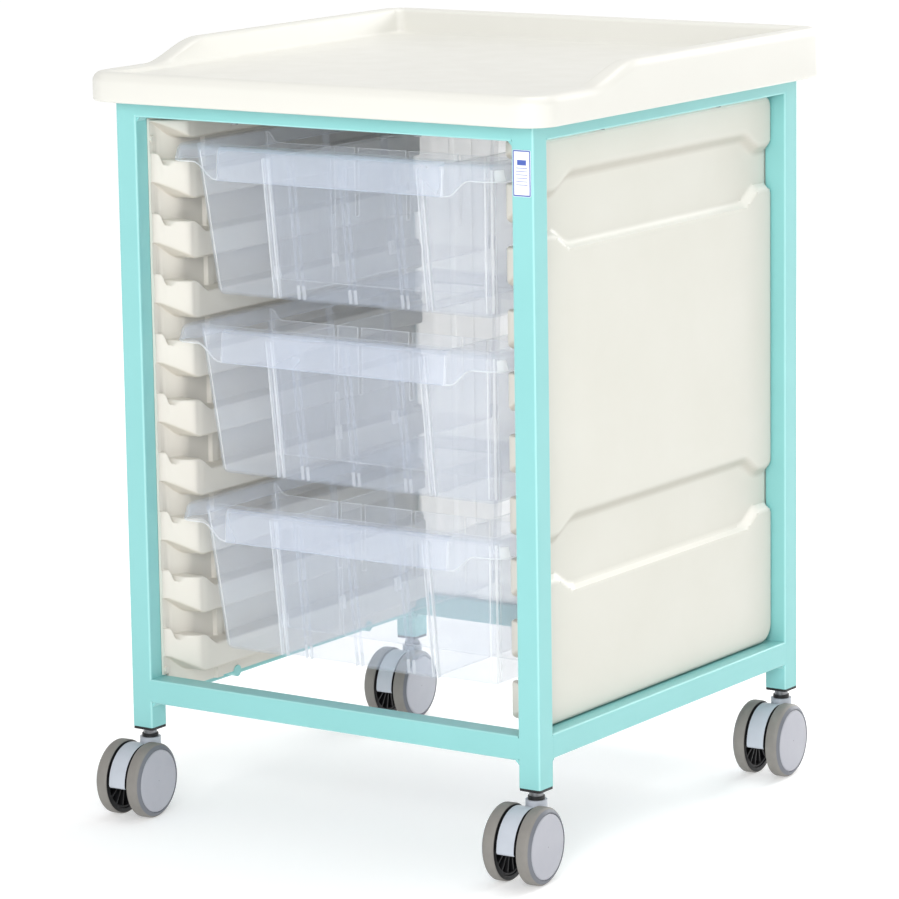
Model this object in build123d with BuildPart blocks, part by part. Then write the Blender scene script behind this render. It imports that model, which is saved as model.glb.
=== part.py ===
from build123d import *
import math
import os

os.makedirs("parts", exist_ok=True)

# Bedside cabinet: a welded square-tube frame on four twin-wheel casters, a
# moulded worktop, two moulded sides with tray runners, a back panel and three
# clear trays with dividers that slide out to the front.
# Millimetres. X to the right, Y to the back, Z up, and the origin on the floor
# under the middle of the frame.

# ---------------------------------------------------------------- driving dimensions

# frame
FRAME_SPAN = 500.0
LEG_BOTTOM = 89.0
LEG_LENGTH = 655.0
TUBE = 25.0
TUBE_WALL = 1.5
TUBE_CORNER = 2.5
BOTTOM_RAIL_RISE = 26.5
WELD_LEG = 4.5
SIDE_WELD_WIDTH = 21.0
CORNER_WELD_WIDTH = 13.0

# leg end inserts
INSERT_FLANGE = 2.8
INSERT_FLANGE_WIDTH = 24.6
INSERT_PLUG_WIDTH = 21.8
INSERT_PLUG_LENGTH = 32.0

# worktop
TOP_SPAN = 550.0
TOP_CORNER = 32.0
SKIRT_RISE = 646.0
FRONT_EDGE_RISE = 676.0
DECK_RISE = 671.0
LIP_RISE = 697.0
LIP_WIDTH = 33.0
FRONT_RIM = 23.0
RAMP_FOOT = -182.0
RAMP_HEAD = -96.0
EDGE_ROUND = 9.0
SKIRT_WALL = 6.0
DECK_SKIN = 5.0
SEAT_INSIDE = 214.0
SEAT_OUTSIDE = 255.0

# sides
SKIN_FACE = 234.4
SKIN_BACK = 224.5
SKIN_HALF_LENGTH = 224.0
SKIN_BOTTOM = 52.5
SKIN_TOP = 628.5
SKIN_WALL = 3.0
BAND_DEPTH = 7.5
BAND_HALF_HEIGHTS = (38.5, 22.5)
BAND_MIDDLES = (556.0, 219.0)
BAND_FRONT = -155.0
BAND_REAR = 165.0
BAND_SLOPE = 38.0
LINER_WALL_FACE = 213.0
LINER_FLANGE_FACE = 222.0
LINER_HALF_LENGTH = 232.0
LINER_BOTTOM = 36.0
LINER_TOP = 627.0
LINER_SHEET = 3.0

# runners: nine level ledges a side, and part of a tenth above them
RUNNER_COUNT = 9
RUNNER_PITCH = 61.26
TOP_LEDGE_RISE = 571.1
RUNNER_FACE = 190.0
RUNNER_DEPTH = 26.5
RUNNER_END = 205.0
RUNNER_TIP_DROP = 8.7
RUNNER_HEEL = -198.0

# back panel
BACK_FACE = 228.0
BACK_SHEET = 3.0
BACK_HALF_WIDTH = 219.5
BACK_TOP = 627.0
BACK_FLANGE = 16.0
CHANNEL_EDGES = (142.0, 172.0)
CHANNEL_DEPTH = 4.0

# trays
TRAY_RUNNERS = (0, 3, 6)
RIM_ABOVE_LEDGE = 32.4
TRAY_DEPTH = 155.5
TRAY_WALL = 2.5
RIM_HALF_WIDTH = 196.0
RIM_FRONT = -232.0
RIM_REAR = 222.0
RIM_CORNER = 17.0
APRON_DEPTH = 17.0
SIDE_APRON_DEPTH = 19.3
HANDLE_HALF_WIDTH = 136.0
HANDLE_DEPTH = 33.5
HANDLE_PROUD = 2.5
TRAY_SECTION_TOP = (179.2, -215.7, 206.0)
TRAY_SECTION_BOTTOM = (168.0, -198.4, 194.0)
TRAY_CORNER = 8.0
GUIDE_PROUD = 3.0
GUIDE_THICK = 2.0
GUIDE_FOOT = 6.0
RUNNING_GAP = 0.3

# dividers
DIVIDER_SHEET = 2.5
CROSS_DIVIDER_Y = -97.0
LONG_DIVIDER_X = 93.0
DIVIDER_BELOW_RIM = 11.5
SLOT_BELOW_RIM = 81.0

# casters
CASTER_HEADING = 4.1
CASTER_TRAIL = 26.7
WHEEL_RADIUS = 38.5
TREAD_INSIDE = 12.3
TREAD_OUTSIDE = 22.9
WHEEL_OUTSIDE = 27.1
TYRE_BORE = 33.4
STEM_RADIUS = 5.5
PIN_RADIUS = 4.0
NECK_RADIUS = 10.8
AXLE_RADIUS = 3.0
SHAFT_GAP = 0.05

# ---------------------------------------------------------------- worked-out values

LEG_MIDDLE = (FRAME_SPAN - TUBE) / 2
RAIL_LENGTH = FRAME_SPAN - 2 * TUBE
FRAME_INSIDE = FRAME_SPAN / 2 - TUBE
FRAME_TOP = LEG_BOTTOM + LEG_LENGTH
TOP_RAIL_MIDDLE = FRAME_TOP - TUBE / 2
BOTTOM_RAIL_MIDDLE = LEG_BOTTOM + BOTTOM_RAIL_RISE + TUBE / 2
SIDES = {"left": -1, "right": 1}
ENDS = {"front": -1, "rear": 1}


def save(piece, name):
    piece.part.label = name
    export_step(piece.part, f"parts/{name}.step")


# ---------------------------------------------------------------- frame

SCREW_HOLE = 1.6
LEG_HOLE_DEPTH = 8.0
PANEL_SCREW_Y = 228.0
PANEL_SCREW_HEIGHTS = (LEG_BOTTOM + 58.0, LEG_BOTTOM + 606.0)
TOP_SCREW_HOLE = 2.1
TOP_SCREW_OFFSETS = (-110.0, 110.0)
BACK_SCREW_OFFSETS = (-85.0, 85.0)
BACK_SCREW_Y = BACK_FACE + BACK_SHEET + 7.0


def make_leg(side, end):
    """Square tube leg with two screw holes in its inward face for the side liner."""
    with BuildPart() as leg:
        with BuildSketch(Plane.XY.offset(LEG_BOTTOM)):
            with Locations((side * LEG_MIDDLE, end * LEG_MIDDLE)):
                RectangleRounded(TUBE, TUBE, TUBE_CORNER)
                bore = TUBE - 2 * TUBE_WALL
                RectangleRounded(bore, bore, TUBE_CORNER - TUBE_WALL, mode=Mode.SUBTRACT)
        extrude(amount=LEG_LENGTH)
        for height in PANEL_SCREW_HEIGHTS:
            face = (side * FRAME_INSIDE, end * PANEL_SCREW_Y, height)
            with BuildSketch(Plane(origin=face, x_dir=(0, 1, 0), z_dir=(side, 0, 0))):
                Circle(SCREW_HOLE)
            extrude(amount=LEG_HOLE_DEPTH, mode=Mode.SUBTRACT)
    return leg


def make_rail(middle, along, across):
    """Square tube rail centred on a point, running along one horizontal direction."""
    with BuildPart() as rail:
        with BuildSketch(Plane(origin=middle, x_dir=across, z_dir=along)):
            RectangleRounded(TUBE, TUBE, TUBE_CORNER)
            bore = TUBE - 2 * TUBE_WALL
            RectangleRounded(bore, bore, TUBE_CORNER - TUBE_WALL, mode=Mode.SUBTRACT)
        extrude(amount=RAIL_LENGTH / 2, both=True)
    return rail


def drill_down(rail, points, radius, bottom, height):
    """The rail with vertical holes at the points, from bottom up through height."""
    with BuildPart() as drilled:
        add(rail.part)
        with BuildSketch(Plane.XY.offset(bottom)):
            with Locations(*points):
                Circle(radius)
        extrude(amount=height, mode=Mode.SUBTRACT)
    return drilled


for side_name, side in SIDES.items():
    for end_name, end in ENDS.items():
        save(make_leg(side, end), f"{end_name}_{side_name}_leg")

top_screw_points = []
for end_name, end in ENDS.items():
    y = end * LEG_MIDDLE
    across_points = [(x, y) for x in TOP_SCREW_OFFSETS]
    top_screw_points += across_points
    top_rail = make_rail((0, y, TOP_RAIL_MIDDLE), (1, 0, 0), (0, 1, 0))
    top_rail = drill_down(top_rail, across_points, TOP_SCREW_HOLE, FRAME_TOP - TUBE, TUBE)
    bottom_rail = make_rail((0, y, BOTTOM_RAIL_MIDDLE), (1, 0, 0), (0, 1, 0))
    if end_name == "rear":
        back_points = [(x, BACK_SCREW_Y) for x in BACK_SCREW_OFFSETS]
        top_rail = drill_down(top_rail, back_points, SCREW_HOLE, FRAME_TOP - TUBE, 2 * TUBE_WALL)
        rail_top = BOTTOM_RAIL_MIDDLE + TUBE / 2
        bottom_rail = drill_down(
            bottom_rail, back_points, SCREW_HOLE, rail_top - 2 * TUBE_WALL, 2 * TUBE_WALL
        )
    save(top_rail, f"top_{end_name}_rail")
    save(bottom_rail, f"bottom_{end_name}_rail")

for side_name, side in SIDES.items():
    x = side * LEG_MIDDLE
    side_points = [(x, y) for y in TOP_SCREW_OFFSETS]
    top_screw_points += side_points
    top_rail = make_rail((x, 0, TOP_RAIL_MIDDLE), (0, 1, 0), (1, 0, 0))
    top_rail = drill_down(top_rail, side_points, TOP_SCREW_HOLE, FRAME_TOP - TUBE, TUBE)
    save(top_rail, f"top_{side_name}_rail")
    save(make_rail((x, 0, BOTTOM_RAIL_MIDDLE), (0, 1, 0), (1, 0, 0)), f"bottom_{side_name}_rail")

# Fillet welds: a small wedge in each corner between a rail and a leg. Those
# beside a panel are narrower, so that the panel clears them.
with BuildPart() as weld_fillets:
    under_bottom = BOTTOM_RAIL_MIDDLE - TUBE / 2
    under_top = FRAME_TOP - TUBE
    for side in SIDES.values():
        for end in ENDS.values():
            under_side_rail = Plane(
                origin=(side * LEG_MIDDLE, end * FRAME_INSIDE, under_bottom),
                x_dir=(0, -end, 0),
                z_dir=(-end, 0, 0),
            )
            with BuildSketch(under_side_rail):
                Polygon((0, 0), (WELD_LEG, 0), (0, -WELD_LEG), align=None)
            extrude(amount=SIDE_WELD_WIDTH / 2, both=True)
            for height, width in ((under_bottom, SIDE_WELD_WIDTH), (under_top, CORNER_WELD_WIDTH)):
                outer_face = end * (FRAME_SPAN / 2 - 2)
                under_end_rail = Plane(
                    origin=(side * FRAME_INSIDE, outer_face - end * width / 2, height),
                    x_dir=(-side, 0, 0),
                    z_dir=(0, side, 0),
                )
                with BuildSketch(under_end_rail):
                    Polygon((0, 0), (WELD_LEG, 0), (0, -WELD_LEG), align=None)
                extrude(amount=width / 2, both=True)
save(weld_fillets, "weld_fillets")

# Moulded inserts in the open leg ends: a flange under the tube and a plug in it.
with BuildPart() as leg_end_inserts:
    corners = [(side * LEG_MIDDLE, end * LEG_MIDDLE) for side in SIDES.values() for end in ENDS.values()]
    with BuildSketch(Plane.XY.offset(LEG_BOTTOM - INSERT_FLANGE)):
        with Locations(*corners):
            RectangleRounded(INSERT_FLANGE_WIDTH, INSERT_FLANGE_WIDTH, TUBE_CORNER)
    extrude(amount=INSERT_FLANGE)
    with BuildSketch(Plane.XY.offset(LEG_BOTTOM)):
        with Locations(*corners):
            RectangleRounded(INSERT_PLUG_WIDTH, INSERT_PLUG_WIDTH, TUBE_CORNER - TUBE_WALL)
    extrude(amount=INSERT_PLUG_LENGTH)
    with BuildSketch(Plane.XY.offset(LEG_BOTTOM - INSERT_FLANGE)):
        with Locations(*corners):
            Circle(STEM_RADIUS + SHAFT_GAP)
    extrude(amount=INSERT_FLANGE + INSERT_PLUG_LENGTH, mode=Mode.SUBTRACT)
save(leg_end_inserts, "leg_end_inserts")

# Pegs welded inside the bottom side rails, round on top, that carry the liners.
PEG_RADIUS = 6.0
PEG_LENGTH = 13.0
PEG_Y = 119.5
PEG_HEIGHT = LEG_BOTTOM + LINER_BOTTOM - 0.6
with BuildPart() as panel_support_pegs:
    for side in SIDES.values():
        for end in ENDS.values():
            root = (side * FRAME_INSIDE, end * PEG_Y, PEG_HEIGHT)
            with BuildSketch(Plane(origin=root, x_dir=(0, 1, 0), z_dir=(-side, 0, 0))):
                Circle(PEG_RADIUS)
            extrude(amount=PEG_LENGTH)
save(panel_support_pegs, "panel_support_pegs")

# ---------------------------------------------------------------- worktop

SKIRT_BOTTOM = LEG_BOTTOM + SKIRT_RISE
FRONT_EDGE_TOP = LEG_BOTTOM + FRONT_EDGE_RISE
DECK_TOP = LEG_BOTTOM + DECK_RISE
LIP_TOP = LEG_BOTTOM + LIP_RISE
TOP_HALF = TOP_SPAN / 2
TOP_SCREW_GRIP = 8.0
POCKETS_ACROSS = 4
POCKET_RIB = 5.0
POCKET_PITCH = 2 * SEAT_INSIDE / POCKETS_ACROSS


def runs_level(edge):
    """True for an edge that doesn't stand upright."""
    return abs(edge.tangent_at(0.5).Z) < 0.9


with BuildPart() as worktop:
    with BuildSketch(Plane.XY.offset(SKIRT_BOTTOM)):
        RectangleRounded(TOP_SPAN, TOP_SPAN, TOP_CORNER)
    extrude(amount=LIP_TOP - SKIRT_BOTTOM)
    # the lip sweeps down to the low front edge in an S
    with BuildSketch(Plane.YZ):
        with BuildLine():
            ramp = Spline(
                (RAMP_FOOT, FRONT_EDGE_TOP), (RAMP_HEAD, LIP_TOP), tangents=[(1, 0), (1, 0)]
            )
            Polyline(
                ramp @ 1,
                (RAMP_HEAD, LIP_TOP + TUBE),
                (-TOP_SPAN, LIP_TOP + TUBE),
                (-TOP_SPAN, FRONT_EDGE_TOP),
                ramp @ 0,
            )
        make_face()
    extrude(amount=TOP_SPAN, both=True, mode=Mode.SUBTRACT)
    top_edges = worktop.edges().filter_by_position(Axis.Z, FRONT_EDGE_TOP - 0.1, LIP_TOP + 0.1)
    fillet(top_edges.filter_by(runs_level), EDGE_ROUND)
    # the deck, sunk inside the lip and the front rim
    deck_length = TOP_SPAN - LIP_WIDTH - FRONT_RIM
    with BuildSketch(Plane.XY.offset(DECK_TOP)):
        with Locations((0, (FRONT_RIM - LIP_WIDTH) / 2)):
            RectangleRounded(TOP_SPAN - 2 * LIP_WIDTH, deck_length, TOP_CORNER / 2)
    extrude(amount=LIP_TOP - DECK_TOP + 1, mode=Mode.SUBTRACT)
    # hollow underneath: the skirt, a groove up into the lip, and ribbed deck pockets
    with BuildSketch(Plane.XY.offset(SKIRT_BOTTOM)):
        skirt_inside = TOP_SPAN - 2 * SKIRT_WALL
        RectangleRounded(skirt_inside, skirt_inside, TOP_CORNER - SKIRT_WALL)
    extrude(amount=FRAME_TOP - SKIRT_BOTTOM, mode=Mode.SUBTRACT)
    with BuildSketch(Plane.XY.offset(FRAME_TOP)):
        with GridLocations(POCKET_PITCH, POCKET_PITCH, POCKETS_ACROSS, POCKETS_ACROSS):
            pocket = POCKET_PITCH - POCKET_RIB
            RectangleRounded(pocket, pocket, POCKET_RIB)
    extrude(amount=DECK_TOP - DECK_SKIN - FRAME_TOP, mode=Mode.SUBTRACT)
    with BuildSketch(Plane.XY.offset(FRAME_TOP)):
        groove = TOP_HALF - SKIRT_WALL - SEAT_OUTSIDE
        groove_length = TOP_HALF - SKIRT_WALL + abs(RAMP_HEAD) - TOP_CORNER
        for side in SIDES.values():
            with Locations((side * (SEAT_OUTSIDE + groove / 2), groove_length / 2 + RAMP_HEAD)):
                Rectangle(groove, groove_length)
        with Locations((0, SEAT_OUTSIDE + groove / 2)):
            Rectangle(2 * (TOP_HALF - SKIRT_WALL - TOP_CORNER), groove)
    extrude(amount=LIP_TOP - FRAME_TOP - EDGE_ROUND, mode=Mode.SUBTRACT)
    with BuildSketch(Plane.XY.offset(FRAME_TOP)):
        with Locations(*top_screw_points):
            Circle(TOP_SCREW_HOLE)
    extrude(amount=TOP_SCREW_GRIP, mode=Mode.SUBTRACT)
save(worktop, "worktop")

# Screws up through the top rails into the worktop, heads under the rails.
TOP_SCREW_HEAD = (3.6, 2.4)
with BuildPart() as worktop_screws:
    with BuildSketch(Plane.XY.offset(FRAME_TOP - TUBE - TOP_SCREW_HEAD[1])):
        with Locations(*top_screw_points):
            Circle(TOP_SCREW_HEAD[0])
    extrude(amount=TOP_SCREW_HEAD[1])
    with BuildSketch(Plane.XY.offset(FRAME_TOP - TUBE)):
        with Locations(*top_screw_points):
            Circle(TOP_SCREW_HOLE - SHAFT_GAP)
    extrude(amount=TUBE + TOP_SCREW_GRIP - 1)
save(worktop_screws, "worktop_screws")

# ---------------------------------------------------------------- side panels

SKIN_CORNER_BOTTOM = 20.0
SKIN_CORNER_TOP = 12.0
SKIN_EDGE_ROUND = 3.0
BAND_TAPER = 25.0


def skin_outline(inset):
    """Outline of the outer panel, drawn as (y, z), shrunk by inset."""
    width = 2 * (SKIN_HALF_LENGTH - inset)
    height = SKIN_TOP - SKIN_BOTTOM - 2 * inset
    with BuildSketch(Plane.XY) as outline:
        with Locations((0, LEG_BOTTOM + (SKIN_BOTTOM + SKIN_TOP) / 2)):
            Rectangle(width, height)
        fillet(outline.vertices().group_by(Axis.Y)[0], SKIN_CORNER_BOTTOM - inset)
        fillet(outline.vertices().group_by(Axis.Y)[-1], SKIN_CORNER_TOP - inset)
    return outline.sketch


def band_outline(grow):
    """The two sunk bands, drawn as (y, z): wide in the middle, narrow to both edges."""
    tall, low = (half + grow for half in BAND_HALF_HEIGHTS)
    beyond = SKIN_HALF_LENGTH + TUBE
    with BuildSketch(Plane.XY) as bands:
        for middle in BAND_MIDDLES:
            upper = [
                (-beyond, low),
                (BAND_FRONT - BAND_SLOPE, low),
                (BAND_FRONT, tall),
                (BAND_REAR, tall),
                (BAND_REAR + BAND_SLOPE, low),
                (beyond, low),
            ]
            lower = [(y, -z) for y, z in reversed(upper)]
            with Locations((0, LEG_BOTTOM + middle)):
                Polygon(*upper, *lower, align=None)
    return bands.sketch


full_outline = skin_outline(0)
cavity_outline = skin_outline(SKIN_WALL)
sunk_bands = band_outline(0)
backed_bands = band_outline(SKIN_WALL)
skin_plane = Plane(origin=(SKIN_BACK, 0, 0), x_dir=(0, 1, 0), z_dir=(1, 0, 0))
face_plane = Plane(origin=(SKIN_FACE, 0, 0), x_dir=(0, 1, 0), z_dir=(1, 0, 0))

with BuildPart() as right_side_panel:
    with BuildSketch(skin_plane):
        add(full_outline)
    extrude(amount=SKIN_FACE - SKIN_BACK)
    fillet(right_side_panel.faces().sort_by(Axis.X)[-1].edges(), SKIN_EDGE_ROUND)
    with BuildSketch(face_plane):
        add(sunk_bands)
    extrude(amount=-BAND_DEPTH, taper=BAND_TAPER, mode=Mode.SUBTRACT)
    with BuildSketch(skin_plane):
        add(cavity_outline)
        add(backed_bands, mode=Mode.SUBTRACT)
    extrude(amount=SKIN_FACE - SKIN_BACK - SKIN_WALL, mode=Mode.SUBTRACT)
with BuildPart() as left_side_panel:
    add(mirror(right_side_panel.part, about=Plane.YZ))
save(right_side_panel, "right_side_panel")
save(left_side_panel, "left_side_panel")

# ---------------------------------------------------------------- side liners with runners

FLARE_START = 224.4
FLARE_END = 190.0
NOSE_Y = -208.0
# a runner's top from the front, as place along the side and rise above its ledge:
# a horn, a notch, a rounded hump that stops a tray's lugs, then the level ledge
RUNNER_TOP = (
    (-LINER_HALF_LENGTH, 20.5),
    (-225.5, 20.5),
    (-223.5, 17.0),
    (-222.0, 9.5),
    (-219.5, 8.5),
    (-217.0, 12.9),
    (-203.0, 12.9),
    (-183.0, 1.5),
    (-177.0, 0.0),
)
BAR = (-158.0, -146.0)
BAR_PROUD = 3.5
RIB_WALL = 2.5
RIB_CAVITY_FRONT = -170.0
RIB_CAVITY_REAR = RUNNER_END - 5.0
NOTCH_TOP = LEG_BOTTOM + 53.0


def liner_inside(end):
    """Inner face of the liner in plan, from its edge at one end to the flat wall."""
    return Spline(
        (LINER_FLANGE_FACE, end * FLARE_START),
        (LINER_WALL_FACE, end * FLARE_END),
        tangents=[(0, -end), (0, -end)],
    )


def make_runner(ledge, roof):
    """One runner of the right side: its side profile, trimmed by its plan shape."""
    front = -LINER_HALF_LENGTH
    with BuildPart() as runner:
        with BuildSketch(Plane.YZ.offset(RUNNER_FACE)):
            with BuildLine():
                Polyline(
                    (front, ledge - RUNNER_TIP_DROP),
                    *[(y, ledge + rise) for y, rise in RUNNER_TOP],
                    (RUNNER_END, ledge),
                    (RUNNER_END, ledge - RUNNER_DEPTH),
                    (RUNNER_HEEL, ledge - RUNNER_DEPTH),
                )
                Spline(
                    (RUNNER_HEEL, ledge - RUNNER_DEPTH),
                    (front, ledge - RUNNER_TIP_DROP),
                    tangents=[(-1, 0), (-0.4, 0.9)],
                )
            make_face()
        extrude(amount=FRAME_SPAN / 2 - RUNNER_FACE)
        with BuildSketch(Plane.XY):
            with BuildLine():
                flare = Spline(
                    (LINER_FLANGE_FACE - 1, front),
                    (RUNNER_FACE + 1, NOSE_Y),
                    tangents=[(-0.6, 0.8), (-0.5, 0.9)],
                )
                Polyline(
                    flare @ 1,
                    (RUNNER_FACE, NOSE_Y + 2),
                    (RUNNER_FACE, RUNNER_END - 4),
                    (RUNNER_FACE + 4, RUNNER_END),
                    (LINER_WALL_FACE + 1, RUNNER_END),
                    (LINER_WALL_FACE + 1.5, -184),
                    (LINER_FLANGE_FACE + 1.5, -210),
                    (LINER_FLANGE_FACE + 1.5, front),
                    flare @ 0,
                )
            make_face()
        extrude(amount=roof, mode=Mode.INTERSECT)
    return runner


top_ledge = LEG_BOTTOM + TOP_LEDGE_RISE
ledges = [top_ledge - RUNNER_PITCH * number for number in range(-1, RUNNER_COUNT)]
runners = [make_runner(ledge, LEG_BOTTOM + LINER_TOP) for ledge in ledges]

with BuildPart() as right_side_liner:
    # the sheet: flat wall, flared out to a flange at the front and the rear
    with BuildSketch(Plane.XY.offset(LEG_BOTTOM + LINER_BOTTOM)):
        with BuildLine():
            half = LINER_HALF_LENGTH
            inner_front = liner_inside(-1)
            inner_rear = liner_inside(1)
            Line(inner_front @ 1, inner_rear @ 1)
            Polyline(inner_front @ 0, (LINER_FLANGE_FACE, -half), (SKIN_BACK, -half), (SKIN_BACK, -208))
            outer_front = Spline(
                (SKIN_BACK, -208), (LINER_WALL_FACE + LINER_SHEET, -182), tangents=[(0, 1), (0, 1)]
            )
            Line(outer_front @ 1, (LINER_WALL_FACE + LINER_SHEET, 182))
            Spline((LINER_WALL_FACE + LINER_SHEET, 182), (SKIN_BACK, 208), tangents=[(0, 1), (0, 1)])
            Polyline((SKIN_BACK, 208), (SKIN_BACK, half), (LINER_FLANGE_FACE, half), inner_rear @ 0)
        make_face()
    extrude(amount=LINER_TOP - LINER_BOTTOM)
    # top and bottom edges turned out to the flange face
    for height in (LINER_BOTTOM, LINER_TOP - LINER_SHEET):
        with BuildSketch(Plane.XY.offset(LEG_BOTTOM + height)):
            depth = SKIN_BACK - LINER_WALL_FACE - 1
            with Locations((SKIN_BACK - depth / 2, 0)):
                Rectangle(depth, 2 * FLARE_END)
        extrude(amount=LINER_SHEET)
    for runner in runners:
        add(runner.part)
    # a shallow upright bar between the runners
    bar_foot = ledges[-1]
    with BuildSketch(Plane.XY.offset(bar_foot)):
        with Locations((LINER_WALL_FACE + 0.5 - BAR_PROUD / 2, sum(BAR) / 2)):
            Rectangle(BAR_PROUD + 1, BAR[1] - BAR[0])
    extrude(amount=ledges[0] - RUNNER_DEPTH - bar_foot)
    # runners are hollow from the back of the sheet
    for ledge in ledges[1:]:
        with BuildSketch(Plane.XY.offset(ledge - RUNNER_DEPTH + RIB_WALL)):
            with Locations((RUNNER_FACE + RIB_WALL, (RIB_CAVITY_FRONT + RIB_CAVITY_REAR) / 2)):
                Rectangle(
                    SKIN_BACK - RUNNER_FACE,
                    RIB_CAVITY_REAR - RIB_CAVITY_FRONT,
                    align=(Align.MIN, Align.CENTER),
                )
        extrude(amount=RUNNER_DEPTH - 2 * RIB_WALL, mode=Mode.SUBTRACT)
    # corners cut away round the front and rear bottom rails
    with BuildSketch(Plane.XY.offset(LEG_BOTTOM)):
        for end in ENDS.values():
            with Locations((LINER_FLANGE_FACE, end * (FRAME_INSIDE + TUBE / 2 - 1))):
                Rectangle(TUBE, TUBE)
    extrude(amount=NOTCH_TOP - LEG_BOTTOM, mode=Mode.SUBTRACT)
    # slots, open below, that drop over the welded pegs
    for end in ENDS.values():
        slot_plane = Plane(
            origin=(LINER_WALL_FACE - 1, end * PEG_Y, PEG_HEIGHT), x_dir=(0, 1, 0), z_dir=(1, 0, 0)
        )
        with BuildSketch(slot_plane):
            Circle(PEG_RADIUS + RUNNING_GAP)
            with Locations((0, -PEG_RADIUS)):
                Rectangle(2 * (PEG_RADIUS + RUNNING_GAP), 2 * PEG_RADIUS)
        extrude(amount=FRAME_INSIDE - LINER_WALL_FACE + 1, mode=Mode.SUBTRACT)
        for height in PANEL_SCREW_HEIGHTS:
            hole_plane = Plane(
                origin=(LINER_FLANGE_FACE - 1, end * PANEL_SCREW_Y, height),
                x_dir=(0, 1, 0),
                z_dir=(1, 0, 0),
            )
            with BuildSketch(hole_plane):
                Circle(SCREW_HOLE)
            extrude(amount=LINER_SHEET + 1, mode=Mode.SUBTRACT)
with BuildPart() as left_side_liner:
    add(mirror(right_side_liner.part, about=Plane.YZ))
save(right_side_liner, "right_side_liner")
save(left_side_liner, "left_side_liner")

# ---------------------------------------------------------------- back panel

back_bottom = LEG_BOTTOM + SKIN_BOTTOM
back_height = BACK_TOP - SKIN_BOTTOM
with BuildPart() as back_panel:
    inner, outer = CHANNEL_EDGES
    slope = CHANNEL_DEPTH
    channel = [(inner, 0), (inner + slope, slope), (outer - slope, slope), (outer, 0)]
    half_face = channel + [(BACK_HALF_WIDTH, 0)]
    front_face = [(-x, y) for x, y in reversed(half_face)] + half_face
    rear_face = [(x, y + BACK_SHEET) for x, y in reversed(front_face)]
    with BuildSketch(Plane.XY.offset(back_bottom)):
        with Locations((0, BACK_FACE)):
            Polygon(*front_face, *rear_face, align=None)
    extrude(amount=back_height)
    # edges turned back all round
    with BuildSketch(Plane.XY.offset(back_bottom)):
        with Locations((0, BACK_FACE + BACK_FLANGE / 2)):
            Rectangle(2 * BACK_HALF_WIDTH, BACK_FLANGE)
            inside = 2 * (BACK_HALF_WIDTH - BACK_SHEET)
            Rectangle(inside, BACK_FLANGE, mode=Mode.SUBTRACT)
    extrude(amount=back_height)
    for height in (back_bottom, back_bottom + back_height - BACK_SHEET):
        with BuildSketch(Plane.XY.offset(height)):
            with Locations((0, BACK_FACE + CHANNEL_DEPTH + BACK_FLANGE / 2)):
                Rectangle(2 * BACK_HALF_WIDTH, BACK_FLANGE - CHANNEL_DEPTH)
            with Locations(*[(x, BACK_SCREW_Y) for x in BACK_SCREW_OFFSETS]):
                Circle(SCREW_HOLE, mode=Mode.SUBTRACT)
        extrude(amount=BACK_SHEET)
save(back_panel, "back_panel")

# Pan-head screws: eight through the liner flanges into the legs, four through
# the turned edges of the back panel into the rear rails.
HEAD_RADIUS = 3.5
HEAD_HEIGHT = 2.2
SHANK_LENGTH = 6.5
screw_seats = []
for side in SIDES.values():
    for end in ENDS.values():
        for height in PANEL_SCREW_HEIGHTS:
            seat = (side * LINER_FLANGE_FACE, end * PANEL_SCREW_Y, height)
            screw_seats.append(Plane(origin=seat, x_dir=(0, 1, 0), z_dir=(side, 0, 0)))
for x in BACK_SCREW_OFFSETS:
    low_seat = (x, BACK_SCREW_Y, back_bottom + BACK_SHEET)
    high_seat = (x, BACK_SCREW_Y, back_bottom + back_height - BACK_SHEET)
    screw_seats.append(Plane(origin=low_seat, x_dir=(1, 0, 0), z_dir=(0, 0, -1)))
    screw_seats.append(Plane(origin=high_seat, x_dir=(1, 0, 0), z_dir=(0, 0, 1)))

with BuildPart() as panel_screws:
    for seat in screw_seats:
        with BuildSketch(seat):
            Circle(HEAD_RADIUS)
        extrude(amount=-HEAD_HEIGHT)
        with BuildSketch(seat):
            Circle(SCREW_HOLE - SHAFT_GAP)
        extrude(amount=SHANK_LENGTH)
save(panel_screws, "panel_screws")

# Blank bordered label on the front right leg.
LABEL = (20.4, 44.5, 0.4)
LABEL_MIDDLE = (237.3, LEG_BOTTOM + 600.6)
with BuildPart() as asset_label:
    face = (LABEL_MIDDLE[0], -FRAME_SPAN / 2, LABEL_MIDDLE[1])
    with BuildSketch(Plane(origin=face, x_dir=(1, 0, 0), z_dir=(0, -1, 0))):
        RectangleRounded(LABEL[0], LABEL[1], 1.5)
    extrude(amount=LABEL[2])
save(asset_label, "asset_label")

# ---------------------------------------------------------------- trays

FLOOR_ROUND = 7.0
APRON_SWEEP = (146.0, 164.0)
LUG_Y = (166.0, 202.0)
LUG_WALL = 4.0
SIDE_GUIDES_Y = (CROSS_DIVIDER_Y, 5.0, 108.0)
FRONT_GUIDES_X = (-LONG_DIVIDER_X, -63.0, 0.0, 63.0, LONG_DIVIDER_X)
REAR_GUIDES_X = (-LONG_DIVIDER_X, LONG_DIVIDER_X)


def section(share, inset):
    """Half width, front and rear of the tray walls, from 0 at the floor to 1 at the rim."""
    low, high = TRAY_SECTION_BOTTOM, TRAY_SECTION_TOP
    half, front, rear = (a + (b - a) * share for a, b in zip(low, high))
    return half - inset, front + inset, rear - inset


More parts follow.
